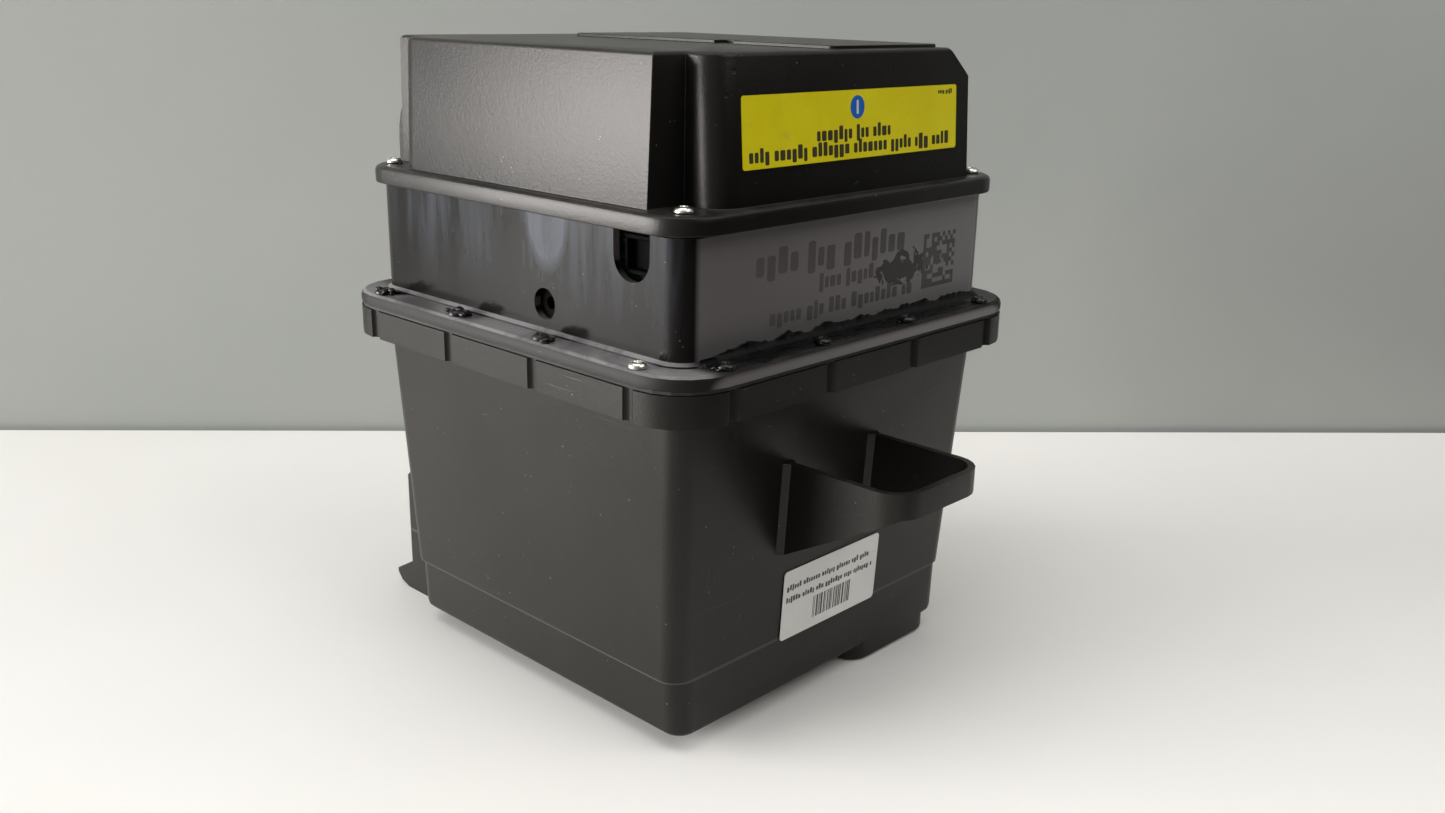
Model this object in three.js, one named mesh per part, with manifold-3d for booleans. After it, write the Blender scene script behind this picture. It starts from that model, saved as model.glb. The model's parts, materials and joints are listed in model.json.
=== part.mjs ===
// Ink core of a continuous inkjet date coder: reservoir tank, manifold housing and cover, with
// the pump, filter, valves, level float and board inside. Millimetres, +Z up, front towards -Y.
import * as THREE from "three";
import { mergeVertices } from "three/addons/utils/BufferGeometryUtils.js";
import Module from "manifold-3d";

const wasm = await Module();
wasm.setup();

// ---- driving dimensions -------------------------------------------------------------------
const GAP = 0.3; // between faces that touch
const FLANGE_HALF = 106; // tank rim and housing flange, half width
const FLANGE_R = 23;
const FOOT_H = 7.4; // sump and rear foot, below the tank floor
const TANK_H = 133.6; // tank floor underside to skirt underside
const SKIRT_H = 12;
const STEP_H = 24.8; // small ledge above the tank floor
const STEP_IN = 2;
const TANK_WALL = 3;
const TANK_R = 8.5; // vertical corner radius of the tank
const FLOOR_R = 3.2; // bottom edge radius
const TANK_INSET_X = 12.7; // flange edge to tank wall, under the skirt
const TANK_INSET_Y = 13.4;
const DRAFT_X = 4.5; // how far a tank wall leans in, from the skirt to the ledge
const DRAFT_Y = 6;
const GASKET_T = 1.2;
const FLANGE_T = 4.9;
const HOUSING_H = 45.2; // flange top to housing rim
const HOUSING_INSET = 13; // flange edge to housing wall
const HOUSING_WALL = 3;
const HOUSING_R = 10;
const PLINTH_OUT = 1.6; // small step round the foot of the housing wall
const PLINTH_H = 1.9;
const DECK_T = 4;
const COVER_SEAL_T = 0.6;
const COVER_FLANGE_T = 7;
const COVER_FLANGE_OUT = 5.5; // cover flange past the housing wall
const COVER_FLANGE_R = 19;
const COVER_H = 52.6; // cover flange top to roof
const COVER_WALL = 2.5;
const COVER_R = 10.5; // where a cover wall starts
const COVER_LEAN_SIDE = 2.5;
const COVER_LEAN_FRONT = 3.5;
const COVER_NOTCH = 17.7; // housing wall to where a cover wall ends, clear of the cover screws
const BACK_NOTCH = 13.5; // the same for the back wall, beside the cable bulge
const CHAMFER_RUN = 28.5; // along the right edge of the roof
const CHAMFER_DROP = 24;
const BULGE_W = 64; // cable bulge on the back of the cover
const BULGE_H = 31;
const BULGE_OUT = 3; // past the cover flange
const ROOF_PANEL_T = 1.4;
const ROOF_PANEL_X0 = -8;
const ROOF_PANEL_SHORT = 31; // back end of the panel, in from the housing's back wall
const BOSS_R = 4;
const SCREW_R = 1.9;
const SCREW_CLEAR = 0.3;
const FLANGE_SCREW_IN = 4.8; // flange edge to screw axis
const SCREW_PITCH = 53;
const SCREWS_PER_SIDE = 4;
const HEAD_R = 3.5;
const HEAD_H = 2.6;
const COVER_SCREW_IN = 11.3; // cover flange edge to screw axis
const GROOVE_R = 3;
const GROOVE_D = 1.8;
const HANDLE_X0 = -33;
const HANDLE_X1 = 23.5;
const HANDLE_OUT = 40.3; // past the flange edge
const HANDLE_R = 12.7;
const HANDLE_T = 2.8;
const HANDLE_H = 10.2;
const HANDLE_ROOT_H = 0.292 * TANK_H;
const HANDLE_WEB = 2.5; // flare of the handle arms at the tank wall
const HANDLE_DROP = 0.2245 * TANK_H; // skirt underside to strap top
const SUMP_X0 = 23;
const SUMP_R = 10.6;
const FOOT_X = -71; // hook plate of the rear foot
const FOOT_W = 26;
const FOOT_T = 3;
const FOOT_OUT = 9.5; // past the flange edge
const HOOK_OUT = 13;
const PORT_Y = -18.8;
const PORT_R = 6.2;
const PORT_UP = 11.1; // flange top to port axis
const SLOT_Y = -67.3;
const SLOT_R = 9.4;
const SLOT_DOWN = 8.9; // housing rim to slot arc centre
const PUMP = { x: 62, y: 44, z: 20 };
const GEAR_TEETH = 10;
const GEAR_MODULE = 1.6;
const GEAR_H = 10;
const GEAR_BACKLASH = 0.5;
const SHAFT_R = 2.5;
const MOTOR_R = 21;
const MOTOR_H = 54;
const FILTER_R = 28;
const FILTER_H = 74;
const DAMPER_R = 20;
const DAMPER_H = 20;
const BLOCK = { x: 104, y: 30, z: 18 };
const VALVE_R = 10;
const VALVE_H = 32;
const VALVE_PITCH = 30;
const VALVES = 3;
const SENSOR_R = 5;
const PLUNGER_R = 4;
const PLUNGER_L = 20;
const PLUNGER_TRAVEL = 3;
const BOARD = { y: 45.5, z: 76, t: 1.6 };
const SOCKET = { x: 5, y: 15, z: 14 };
const FITTING_R = 4.2;
const FLOAT_R = 18;
const FLOAT_H = 30;
const STEM_R = 3.5;
const FLOAT_LOW = 24; // tank floor to float underside at its lowest
const PICKUP_R = 5;
const STRAINER_R = 11;
const STRAINER_H = 18;
const RETURN_R = 4;
const RETURN_L = 52;
const YELLOW_LABEL = { x: 0.8, z: 25.6, w: 129.5, h: 25.4 }; // middle, above the cover flange
const WHITE_LABEL = { x: 2.5, z: 0.292 * TANK_H, w: 62.5, h: 31.4 }; // middle, above the tank floor
const LABEL_T = 0.25;
const ARC = 5; // steps in a rounded corner

// ---- levels and half widths that follow from them ------------------------------------------
const FLOOR_Z = FOOT_H;
const STEP_Z = FLOOR_Z + STEP_H;
const SKIRT_Z = FLOOR_Z + TANK_H;
const RIM_Z = SKIRT_Z + SKIRT_H;
const FLANGE_Z = RIM_Z + GASKET_T + 2 * GAP;
const DECK_Z = FLANGE_Z + DECK_T;
const SHELF_Z = FLANGE_Z + FLANGE_T;
const HOUSING_TOP = SHELF_Z + HOUSING_H;
const COVER_Z = HOUSING_TOP + COVER_SEAL_T + 2 * GAP;
const COVER_WALL_Z = COVER_Z + COVER_FLANGE_T;
const ROOF_Z = COVER_WALL_Z + COVER_H;
const HOUSING_HALF = FLANGE_HALF - HOUSING_INSET;
const BAY = HOUSING_HALF - HOUSING_WALL; // inside half width of the housing
const COVER_FLANGE_HALF = HOUSING_HALF + COVER_FLANGE_OUT;
const COVER_REACH = HOUSING_HALF - COVER_NOTCH; // middle to where a cover wall ends
const FRONT_Y = -FLANGE_HALF - HANDLE_OUT;
const BACK_Y = FLANGE_HALF + FOOT_OUT + HOOK_OUT;

// ---- shape helpers -------------------------------------------------------------------------
function solid(geometry) {
  geometry.deleteAttribute("normal");
  geometry.deleteAttribute("uv");
  const merged = mergeVertices(geometry, 1e-5);
  const triVerts = Uint32Array.from(merged.index.array);
  const vertProperties = Float32Array.from(merged.attributes.position.array);
  return new wasm.Manifold(new wasm.Mesh({ numProp: 3, vertProperties, triVerts }));
}

const join = (first, ...rest) => rest.reduce((sum, item) => sum.add(item), first);
const cut = (first, ...rest) => rest.reduce((sum, item) => sum.subtract(item), first);

// Points of a rounded rectangle, anticlockwise.
function roundRect(x0, x1, y0, y1, r) {
  const corners = [[x1 - r, y0 + r, -90], [x1 - r, y1 - r, 0], [x0 + r, y1 - r, 90], [x0 + r, y0 + r, 180]];
  return corners.flatMap(([cx, cy, start]) => Array.from({ length: ARC + 1 }, (_, i) => {
    const a = THREE.MathUtils.degToRad(start + (90 * i) / ARC);
    return new THREE.Vector2(cx + r * Math.cos(a), cy + r * Math.sin(a));
  }));
}

const square = (half, r) => roundRect(-half, half, -half, half, r);

// A closed skin through outlines of equal length, bottom to top; each level is [z, points].
function loft(levels) {
  const count = levels[0][1].length;
  const positions = levels.flatMap(([z, points]) => points.flatMap((p) => [p.x, p.y, z]));
  const index = [];
  for (let k = 0; k + 1 < levels.length; k += 1) {
    for (let i = 0; i < count; i += 1) {
      const a = k * count + i;
      const b = k * count + ((i + 1) % count);
      index.push(a, b, b + count, a, b + count, a + count);
    }
  }
  const top = (levels.length - 1) * count;
  for (const [i, j, k] of THREE.ShapeUtils.triangulateShape(levels[0][1], [])) index.push(k, j, i);
  for (const [i, j, k] of THREE.ShapeUtils.triangulateShape(levels.at(-1)[1], [])) {
    index.push(top + i, top + j, top + k);
  }
  const geometry = new THREE.BufferGeometry();
  geometry.setAttribute("position", new THREE.Float32BufferAttribute(positions, 3));
  geometry.setIndex(index);
  return solid(geometry);
}

const prism = (points, z0, z1) => loft([[z0, points], [z1, points]]);

function box(x0, x1, y0, y1, z0, z1) {
  const geometry = new THREE.BoxGeometry(x1 - x0, y1 - y0, z1 - z0);
  return solid(geometry.translate((x0 + x1) / 2, (y0 + y1) / 2, (z0 + z1) / 2));
}

function rod(x, y, r, z0, z1, sides = 16) {
  const geometry = new THREE.CylinderGeometry(r, r, z1 - z0, sides).rotateX(Math.PI / 2);
  return solid(geometry.translate(x, y, (z0 + z1) / 2));
}

function rodX(x0, x1, y, z, r, sides = 16) {
  const geometry = new THREE.CylinderGeometry(r, r, x1 - x0, sides).rotateZ(Math.PI / 2);
  return solid(geometry.translate((x0 + x1) / 2, y, z));
}

// A profile of [y, z] points pushed along X.
function slab(profile, x0, x1) {
  const shape = new THREE.Shape(profile.map(([y, z]) => new THREE.Vector2(y, z)));
  const geometry = new THREE.ExtrudeGeometry(shape, { depth: x1 - x0, bevelEnabled: false });
  return solid(geometry.rotateX(Math.PI / 2).rotateZ(Math.PI / 2).translate(x0, 0, 0));
}

// A profile of [x, z] points pushed along Y.
function beam(profile, y0, y1) {
  const shape = new THREE.Shape(profile.map(([x, z]) => new THREE.Vector2(x, z)));
  const geometry = new THREE.ExtrudeGeometry(shape, { depth: y1 - y0, bevelEnabled: false });
  return solid(geometry.rotateX(Math.PI / 2).translate(0, y1, 0));
}

// A turned piece about a vertical axis; the profile of [r, z] points starts and ends on the axis.
function turned(x, y, profile, sides = 18) {
  const points = profile.map(([r, z]) => new THREE.Vector2(r, z));
  return solid(new THREE.LatheGeometry(points, sides).rotateX(Math.PI / 2).translate(x, y, 0));
}

// ---- finishes ------------------------------------------------------------------------------
const finish = (color, roughness, metalness = 0) =>
  new THREE.MeshStandardMaterial({ color, roughness, metalness });
const TUB = finish(0x24241f, 0.55);
const GLOSS = finish(0x2b292c, 0.22);
const SATIN = finish(0x1d1b1b, 0.4);
const RUBBER = finish(0x101010, 0.8);
const STEEL = finish(0xb9b6ac, 0.3, 1);
const NATURAL = finish(0xd8d5c8, 0.5);
const ALLOY = finish(0xa7a9ac, 0.4, 1);
const BRASS = finish(0xb08d4a, 0.35, 1);
const BOARD_GREEN = finish(0x1f5a35, 0.5);
const YELLOW = finish(0xd8c400, 0.5);
const PAPER = finish(0xdad9d2, 0.7);

const core = new THREE.Group();
core.position.y = -(FRONT_Y + BACK_Y) / 2;

function place(name, body, material) {
  const { vertProperties, triVerts } = body.getMesh();
  const geometry = new THREE.BufferGeometry();
  geometry.setAttribute("position", new THREE.Float32BufferAttribute(vertProperties, 3));
  geometry.setIndex([...triVerts]);
  geometry.computeVertexNormals();
  const mesh = new THREE.Mesh(geometry, material);
  mesh.name = name;
  core.add(mesh);
}

// ---- screw places --------------------------------------------------------------------------
const along = Array.from({ length: SCREWS_PER_SIDE }, (_, i) =>
  (i - (SCREWS_PER_SIDE - 1) / 2) * SCREW_PITCH);
const FLANGE_SCREW_AT = FLANGE_HALF - FLANGE_SCREW_IN;
const flangeScrews = [
  ...along.map((s, i) => [`flange_screw_left_${i + 1}`, -FLANGE_SCREW_AT, s]),
  ...along.map((s, i) => [`flange_screw_right_${i + 1}`, FLANGE_SCREW_AT, s]),
  ...along.map((s, i) => [`flange_screw_front_${i + 1}`, s, -FLANGE_SCREW_AT]),
  ...along.map((s, i) => [`flange_screw_back_${i + 1}`, s, FLANGE_SCREW_AT]),
];
const COVER_SCREW_AT = COVER_FLANGE_HALF - COVER_SCREW_IN;
const coverScrews = [[-1, -1], [1, -1], [1, 1], [-1, 1]].map(([i, j], k) =>
  [`cover_screw_${k + 1}`, i * COVER_SCREW_AT, j * COVER_SCREW_AT]);
const holes = (screws, z0, z1) =>
  join(...screws.map(([, x, y]) => rod(x, y, SCREW_R + SCREW_CLEAR, z0, z1, 8)));

// ---- reservoir tank ------------------------------------------------------------------------
// Half widths of the tank wall at a height, with the same lean above and below the ledge.
function tankHalf(z, inward = 0) {
  const lean = (SKIRT_Z - z) / (SKIRT_Z - STEP_Z);
  const x = FLANGE_HALF - TANK_INSET_X - DRAFT_X * lean - inward;
  const y = FLANGE_HALF - TANK_INSET_Y - DRAFT_Y * Math.min(lean, 1) - inward;
  return { x, y };
}

function tankLevel(z, inward = 0, sideways = 0) {
  const { x, y } = tankHalf(z, inward);
  return [z, roundRect(sideways - x, x - sideways, -y, y, Math.max(TANK_R - inward, 1))];
}

const HANDLE_Z1 = SKIRT_Z - HANDLE_DROP;
const HANDLE_Z0 = HANDLE_Z1 - HANDLE_H;

function handle() {
  const wallY = -tankHalf(HANDLE_Z1).y;
  const rootZ = HANDLE_Z1 - HANDLE_ROOT_H;
  const strap = cut(
    prism(roundRect(HANDLE_X0, HANDLE_X1, FRONT_Y, wallY + 2 * HANDLE_R, HANDLE_R), rootZ, HANDLE_Z1),
    prism(roundRect(HANDLE_X0 + HANDLE_T, HANDLE_X1 - HANDLE_T, FRONT_Y + HANDLE_T,
      wallY + 3 * HANDLE_R, HANDLE_R - HANDLE_T), rootZ - 1, HANDLE_Z1 + 1),
    box(HANDLE_X0 - 1, HANDLE_X1 + 1, wallY + HANDLE_R, wallY + 4 * HANDLE_R, rootZ - 1, HANDLE_Z1 + 1),
  );
  const webs = [HANDLE_X0, HANDLE_X1 - HANDLE_T].map((x) => loft([rootZ, HANDLE_Z1].map((z) => {
    const y = -tankHalf(z).y;
    const plan = [[x - HANDLE_WEB, y + 0.5], [x, y - HANDLE_WEB], [x + HANDLE_T, y - HANDLE_WEB],
      [x + HANDLE_T + HANDLE_WEB, y + 0.5]];
    return [z, plan.map(([px, py]) => new THREE.Vector2(px, py))];
  })));
  // the strap's lower edge slopes down to deep gussets at the wall
  const below = [[wallY, rootZ - 9], [wallY, rootZ], [FRONT_Y + HANDLE_T, HANDLE_Z0],
    [FRONT_Y - 9, HANDLE_Z0], [FRONT_Y - 9, rootZ - 9]];
  return cut(join(strap, ...webs), slab(below, HANDLE_X0 - 9, HANDLE_X1 + 9));
}

// Two hook plates and a tongue on the back wall; the underside is level with the sump.
function rearFoot() {
  const wall = tankHalf(STEP_Z).y - TANK_WALL;
  const edge = FLANGE_HALF + FOOT_OUT;
  const tip = edge + HOOK_OUT;
  const under = [[wall, 2], [edge - 15, 0], [edge + 4, 0], [tip - 3, 2], [tip, 5.5], [tip, 7.5]];
  const plate = [...under, [edge, 15], [edge, FOOT_H + 53], [wall + 5, FOOT_H + 77], [wall, FOOT_H + 77]];
  const tongue = [...under, [tip - 2.5, 7.5], [tip - 5, 4.5], [edge, 3], [wall, 5]];
  return join(
    slab(plate, FOOT_X, FOOT_X + FOOT_T),
    slab(plate, FOOT_X + FOOT_W - FOOT_T, FOOT_X + FOOT_W),
    slab(tongue, FOOT_X, FOOT_X + FOOT_W),
  );
}

function sumpOutline(inward) {
  const { x, y } = tankHalf(STEP_Z);
  return roundRect(SUMP_X0 + inward, x - STEP_IN - 5.7 - inward, -y + inward, y - 5.7 - inward,
    SUMP_R - inward);
}

function tank() {
  const nearFloor = FLOOR_Z + FLOOR_R;
  const bottom = Array.from({ length: 4 }, (_, i) => {
    const a = (i / 3) * (Math.PI / 2);
    return tankLevel(nearFloor - FLOOR_R * Math.cos(a), FLOOR_R * (1 - Math.sin(a)), STEP_IN);
  });
  const lower = loft([...bottom, tankLevel(STEP_Z, 0, STEP_IN)]);
  const upper = loft([tankLevel(STEP_Z), tankLevel(RIM_Z)]);
  const rim = prism(square(FLANGE_HALF, FLANGE_R), SKIRT_Z, RIM_Z);
  const underRim = cut(
    prism(square(FLANGE_HALF - TANK_WALL, FLANGE_R - TANK_WALL), SKIRT_Z - 1, RIM_Z - TANK_WALL),
    loft([tankLevel(SKIRT_Z - 2, -0.01), tankLevel(RIM_Z, -0.01)]),
    ...flangeScrews.map(([, x, y]) => rod(x, y, FLANGE_SCREW_IN + 0.6, SKIRT_Z - 2, RIM_Z, 8)),
  );
  const sump = loft([[0, sumpOutline(1.6)], [1.6, sumpOutline(0)], [STEP_Z - 2, sumpOutline(0)]]);
  const hollow = join(
    loft([tankLevel(FLOOR_Z + TANK_WALL, TANK_WALL, STEP_IN), tankLevel(STEP_Z - 1, TANK_WALL, STEP_IN)]),
    loft([tankLevel(STEP_Z - 1, TANK_WALL, STEP_IN), tankLevel(STEP_Z + TANK_WALL, TANK_WALL)]),
    loft([tankLevel(STEP_Z + TANK_WALL, TANK_WALL), tankLevel(RIM_Z + 1, TANK_WALL)]),
    prism(sumpOutline(TANK_WALL), TANK_WALL, FLOOR_Z + TANK_WALL + 1),
  );
  const grooves = along.flatMap((s) => {
    const at = FLANGE_HALF + GROOVE_R - GROOVE_D;
    return [[-at, s], [at, s], [s, -at], [s, at]];
  }).map(([x, y]) => rod(x, y, GROOVE_R, SKIRT_Z - 1, RIM_Z + 1, 14));
  return cut(join(cut(rim, underRim), lower, upper, sump, handle(), rearFoot()),
    hollow, ...grooves, holes(flangeScrews, SKIRT_Z - 1, RIM_Z + 1));
}

// ---- manifold housing ----------------------------------------------------------------------
const PORT_Z = SHELF_Z + PORT_UP;
const SLOT_Z = HOUSING_TOP - SLOT_DOWN;

function manifoldHousing() {
  const edge = 2.6;
  const flange = loft([
    [FLANGE_Z, square(FLANGE_HALF, FLANGE_R)],
    [SHELF_Z - edge, square(FLANGE_HALF, FLANGE_R)],
    [SHELF_Z - 0.8, square(FLANGE_HALF - 0.6, FLANGE_R - 0.6)],
    [SHELF_Z, square(FLANGE_HALF - 2, FLANGE_R - 2)],
  ]);
  const plinth = square(HOUSING_HALF + PLINTH_OUT, HOUSING_R + PLINTH_OUT);
  const walls = join(
    prism(square(HOUSING_HALF, HOUSING_R), SHELF_Z - 1, HOUSING_TOP),
    loft([[SHELF_Z - 1, plinth], [SHELF_Z + 0.7, plinth],
      [SHELF_Z + PLINTH_H, square(HOUSING_HALF - 0.2, HOUSING_R - 0.2)]]),
  );
  const bosses = coverScrews.map(([, x, y]) => rod(x, y, BOSS_R, DECK_Z - 1, HOUSING_TOP, 12));
  const inside = prism(square(BAY, HOUSING_R - HOUSING_WALL), DECK_Z, HOUSING_TOP + 1);
  const shell = join(cut(join(flange, walls), inside), ...bosses);
  const fromSlot = prism(roundRect(-HOUSING_HALF - 1, -BAY + 1, SLOT_Y - SLOT_R, SLOT_Y + SLOT_R, 0.5),
    SLOT_Z, HOUSING_TOP + 1);
  const openings = [
    fromSlot,
    rodX(-HOUSING_HALF - 1, -BAY + 1, SLOT_Y, SLOT_Z, SLOT_R, 24),
    rodX(-HOUSING_HALF - 1, -BAY + 1, PORT_Y, PORT_Z, PORT_R, 24),
  ];
  const recesses = along.slice(1).map((s) =>
    prism(roundRect(4.1 - FLANGE_SCREW_AT, 6.3 - FLANGE_SCREW_AT, s - 2, s + 4, 1),
      SHELF_Z - 2, SHELF_Z + 1));
  const drops = [[FLOAT_AT, STEM_R], [PICKUP_AT, PICKUP_R], [RETURN_AT, RETURN_R]].map(([[x, y], r]) =>
    rod(x, y, r + 2 * GAP, FLANGE_Z - 1, DECK_Z + 1));
  return cut(shell, ...openings, ...recesses, ...drops,
    holes(flangeScrews, FLANGE_Z - 1, SHELF_Z + 1), holes(coverScrews, HOUSING_TOP - 14, HOUSING_TOP + 1));
}

// ---- places of what hangs in the tank ------------------------------------------------------
const FLOAT_AT = [-BAY + 42, -BAY + 52];
const PICKUP_AT = [BAY - 34, -BAY + 74];
const RETURN_AT = [-BAY + 92, BAY - 30];

function gasket(outer, outerR, inner, innerR, z0, z1, screws) {
  const ring = cut(prism(square(outer, outerR), z0, z1), prism(square(inner, innerR), z0 - 1, z1 + 1));
  return cut(ring, holes(screws, z0 - 1, z1 + 1));
}

// ---- cover ---------------------------------------------------------------------------------
// Outline of the cover walls at a height. Each of the four walls starts with a round corner and
// ends square at COVER_REACH, which leaves a notch over every cover screw.
function coverLevel(z, inward = 0) {
  const u = (z - COVER_WALL_Z) / COVER_H;
  const side = HOUSING_HALF - COVER_LEAN_SIDE * u - inward;
  const front = HOUSING_HALF - COVER_LEAN_FRONT * u - inward;
  const reach = COVER_REACH - inward;
  const r = COVER_R - inward;
  const walls = [[front, reach, (t, h) => [t, -h]], [side, reach, (t, h) => [h, t]],
    [side, HOUSING_HALF - BACK_NOTCH - inward, (t, h) => [-t, h]], [side, reach, (t, h) => [-h, -t]]];
  const points = walls.flatMap(([half, end, turn]) => {
    const start = Array.from({ length: ARC + 1 }, (_, i) => {
      const a = (i / ARC) * (Math.PI / 2);
      return turn(-reach + r * (1 - Math.cos(a)), half - r * (1 - Math.sin(a)));
    });
    return [...start, turn(end, half), turn(end, reach)];
  });
  return [z, points.map(([x, y]) => new THREE.Vector2(x, y))];
}

function cableBulge(inward) {
  const out = COVER_FLANGE_HALF + BULGE_OUT - inward;
  const top = COVER_WALL_Z + BULGE_H - inward;
  const deep = 15 - inward;
  const round = Array.from({ length: 7 }, (_, i) => {
    const a = (i / 6) * (Math.PI / 2);
    return [out - deep + deep * Math.cos(a), top - 22 + 22 * Math.sin(a)];
  });
  const back = HOUSING_HALF - 14;
  const base = COVER_Z - (inward ? 1 : 0);
  const x0 = -COVER_REACH;
  return slab([[back, base], [out, base], ...round, [back, top]], x0 + inward, x0 + BULGE_W - inward);
}

// What the slope along the right edge of the roof takes away.
function roofChamfer(inward) {
  const side = HOUSING_HALF - COVER_LEAN_SIDE - inward;
  const slope = CHAMFER_DROP / CHAMFER_RUN;
  const low = ROOF_Z - CHAMFER_DROP - inward;
  return beam([[side - CHAMFER_RUN - 9, low + CHAMFER_DROP + 9 * slope], [side + 9, low - 9 * slope],
    [side + 29, ROOF_Z + 9], [side - CHAMFER_RUN - 9, ROOF_Z + 29]], -2 * HOUSING_HALF, 2 * HOUSING_HALF);
}

function topCover() {
  const flange = loft([
    [COVER_Z, square(COVER_FLANGE_HALF, COVER_FLANGE_R)],
    [COVER_WALL_Z - 2.2, square(COVER_FLANGE_HALF, COVER_FLANGE_R)],
    [COVER_WALL_Z - 0.7, square(COVER_FLANGE_HALF - 0.6, COVER_FLANGE_R - 0.6)],
    [COVER_WALL_Z, square(COVER_FLANGE_HALF - 2, COVER_FLANGE_R - 2)],
  ]);
  const dome = loft([coverLevel(COVER_WALL_Z - 1), coverLevel(ROOF_Z - 1.6), coverLevel(ROOF_Z - 0.5, 0.5),
    coverLevel(ROOF_Z, 1.6)]);
  const front = -HOUSING_HALF + COVER_LEAN_FRONT;
  const right = HOUSING_HALF - COVER_LEAN_SIDE - CHAMFER_RUN;
  const panel = cut(
    prism(roundRect(ROOF_PANEL_X0, right - 3, front + 4, HOUSING_HALF - ROOF_PANEL_SHORT, 3),
      ROOF_Z - 1, ROOF_Z + ROOF_PANEL_T),
    box(ROOF_PANEL_X0 - 1, ROOF_PANEL_X0 + 7, -34, -24, ROOF_Z, ROOF_Z + 9),
  );
  const walls = join(cut(dome, roofChamfer(0)), panel);
  const hollow = cut(
    loft([coverLevel(COVER_Z - 1, COVER_WALL), coverLevel(ROOF_Z - COVER_WALL, COVER_WALL)]),
    roofChamfer(COVER_WALL),
  );
  return cut(join(flange, walls, cableBulge(0)), hollow, cableBulge(COVER_WALL),
    holes(coverScrews, COVER_Z - 1, COVER_WALL_Z + 1));
}

// ---- screws and labels ---------------------------------------------------------------------
function panScrew(x, y, seat, length) {
  const under = seat + GAP;
  const body = turned(x, y, [[0, seat - length], [SCREW_R, seat - length], [SCREW_R, under], [HEAD_R, under],
    [HEAD_R, under + HEAD_H * 0.5], [HEAD_R * 0.72, under + HEAD_H], [0, under + HEAD_H]], 12);
  return cut(body, rod(x, y, HEAD_R * 0.42, under + HEAD_H * 0.4, under + HEAD_H + 1, 6));
}

// A thin sheet over the points [y, z] of a wall, standing GAP off it.
function label(points, x, width) {
  const off = (distance) => points.map(([y, z]) => [y - distance, z]);
  return slab([...off(GAP), ...off(GAP + LABEL_T).reverse()], x - width / 2, x + width / 2);
}

function yellowLabel() {
  const rise = YELLOW_LABEL.h / 2 / Math.hypot(1, COVER_LEAN_FRONT / COVER_H);
  return label([-rise, rise].map((dz) => {
    const up = YELLOW_LABEL.z + dz;
    return [-HOUSING_HALF + (COVER_LEAN_FRONT * up) / COVER_H, COVER_WALL_Z + up];
  }), YELLOW_LABEL.x, YELLOW_LABEL.w);
}

function whiteLabel() {
  const middle = FLOOR_Z + WHITE_LABEL.z;
  const levels = [middle - WHITE_LABEL.h / 2, STEP_Z, middle + WHITE_LABEL.h / 2].sort((a, b) => a - b);
  return label(levels.map((z) => [-tankHalf(z).y, z]), WHITE_LABEL.x, WHITE_LABEL.w);
}

// ---- pump ----------------------------------------------------------------------------------
const GEAR_PITCH_R = (GEAR_TEETH * GEAR_MODULE) / 2;
const DRIVE_AT = [BAY - 38, BAY - 40];
const IDLER_AT = [DRIVE_AT[0] - 2 * GEAR_PITCH_R - GEAR_BACKLASH, DRIVE_AT[1]];
const PUMP_Z = DECK_Z + GAP;
const PUMP_TOP = PUMP_Z + PUMP.z;
const GEAR_Z = PUMP_TOP - GEAR_H - GAP;
const PUMP_COVER_T = 5;
const MOTOR_Z = PUMP_TOP + PUMP_COVER_T + 2 * GAP;
const MOTOR_PLATE_T = 3;
const gearTip = GEAR_PITCH_R + 0.85 * GEAR_MODULE;

function gear([x, y], turn) {
  const root = GEAR_PITCH_R - 1.15 * GEAR_MODULE;
  const points = Array.from({ length: GEAR_TEETH }, (_, k) => {
    const middle = turn + (k * 2 * Math.PI) / GEAR_TEETH;
    const pitch = Math.PI / GEAR_TEETH;
    return [[root, -0.78], [GEAR_PITCH_R, -0.42], [gearTip, -0.2], [gearTip, 0.2], [GEAR_PITCH_R, 0.42],
      [root, 0.78]].map(([r, share]) => {
      const a = middle + share * pitch;
      return new THREE.Vector2(x + r * Math.cos(a), y + r * Math.sin(a));
    });
  }).flat();
  return prism(points, GEAR_Z, GEAR_Z + GEAR_H);
}

function pumpBody() {
  const middle = (DRIVE_AT[0] + IDLER_AT[0]) / 2;
  const block = prism(roundRect(middle - PUMP.x / 2, middle + PUMP.x / 2, DRIVE_AT[1] - PUMP.y / 2,
    DRIVE_AT[1] + PUMP.y / 2, 5), PUMP_Z, PUMP_TOP);
  const pockets = [DRIVE_AT, IDLER_AT].map(([x, y]) =>
    rod(x, y, gearTip + 2 * GAP, GEAR_Z - GAP, PUMP_TOP + 1, 24));
  const bearings = [DRIVE_AT, IDLER_AT].map(([x, y]) =>
    rod(x, y, SHAFT_R + GAP, PUMP_Z + 3, PUMP_TOP, 16));
  const ports = [-1, 1].map((side) => rod(middle, DRIVE_AT[1] + side * 9, 2.5, PUMP_Z - 1, PUMP_TOP + 1, 12));
  return cut(block, ...pockets, ...bearings, ...ports);
}

function pumpCover() {
  const middle = (DRIVE_AT[0] + IDLER_AT[0]) / 2;
  const z0 = PUMP_TOP + GAP;
  return cut(
    prism(roundRect(middle - PUMP.x / 2, middle + PUMP.x / 2, DRIVE_AT[1] - PUMP.y / 2,
      DRIVE_AT[1] + PUMP.y / 2, 5), z0, z0 + PUMP_COVER_T),
    rod(...DRIVE_AT, SHAFT_R + GAP, z0 - 1, z0 + PUMP_COVER_T + 1, 16),
    rod(...IDLER_AT, SHAFT_R + GAP, z0 - 1, z0 + PUMP_COVER_T - 1.5, 16),
  );
}

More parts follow.
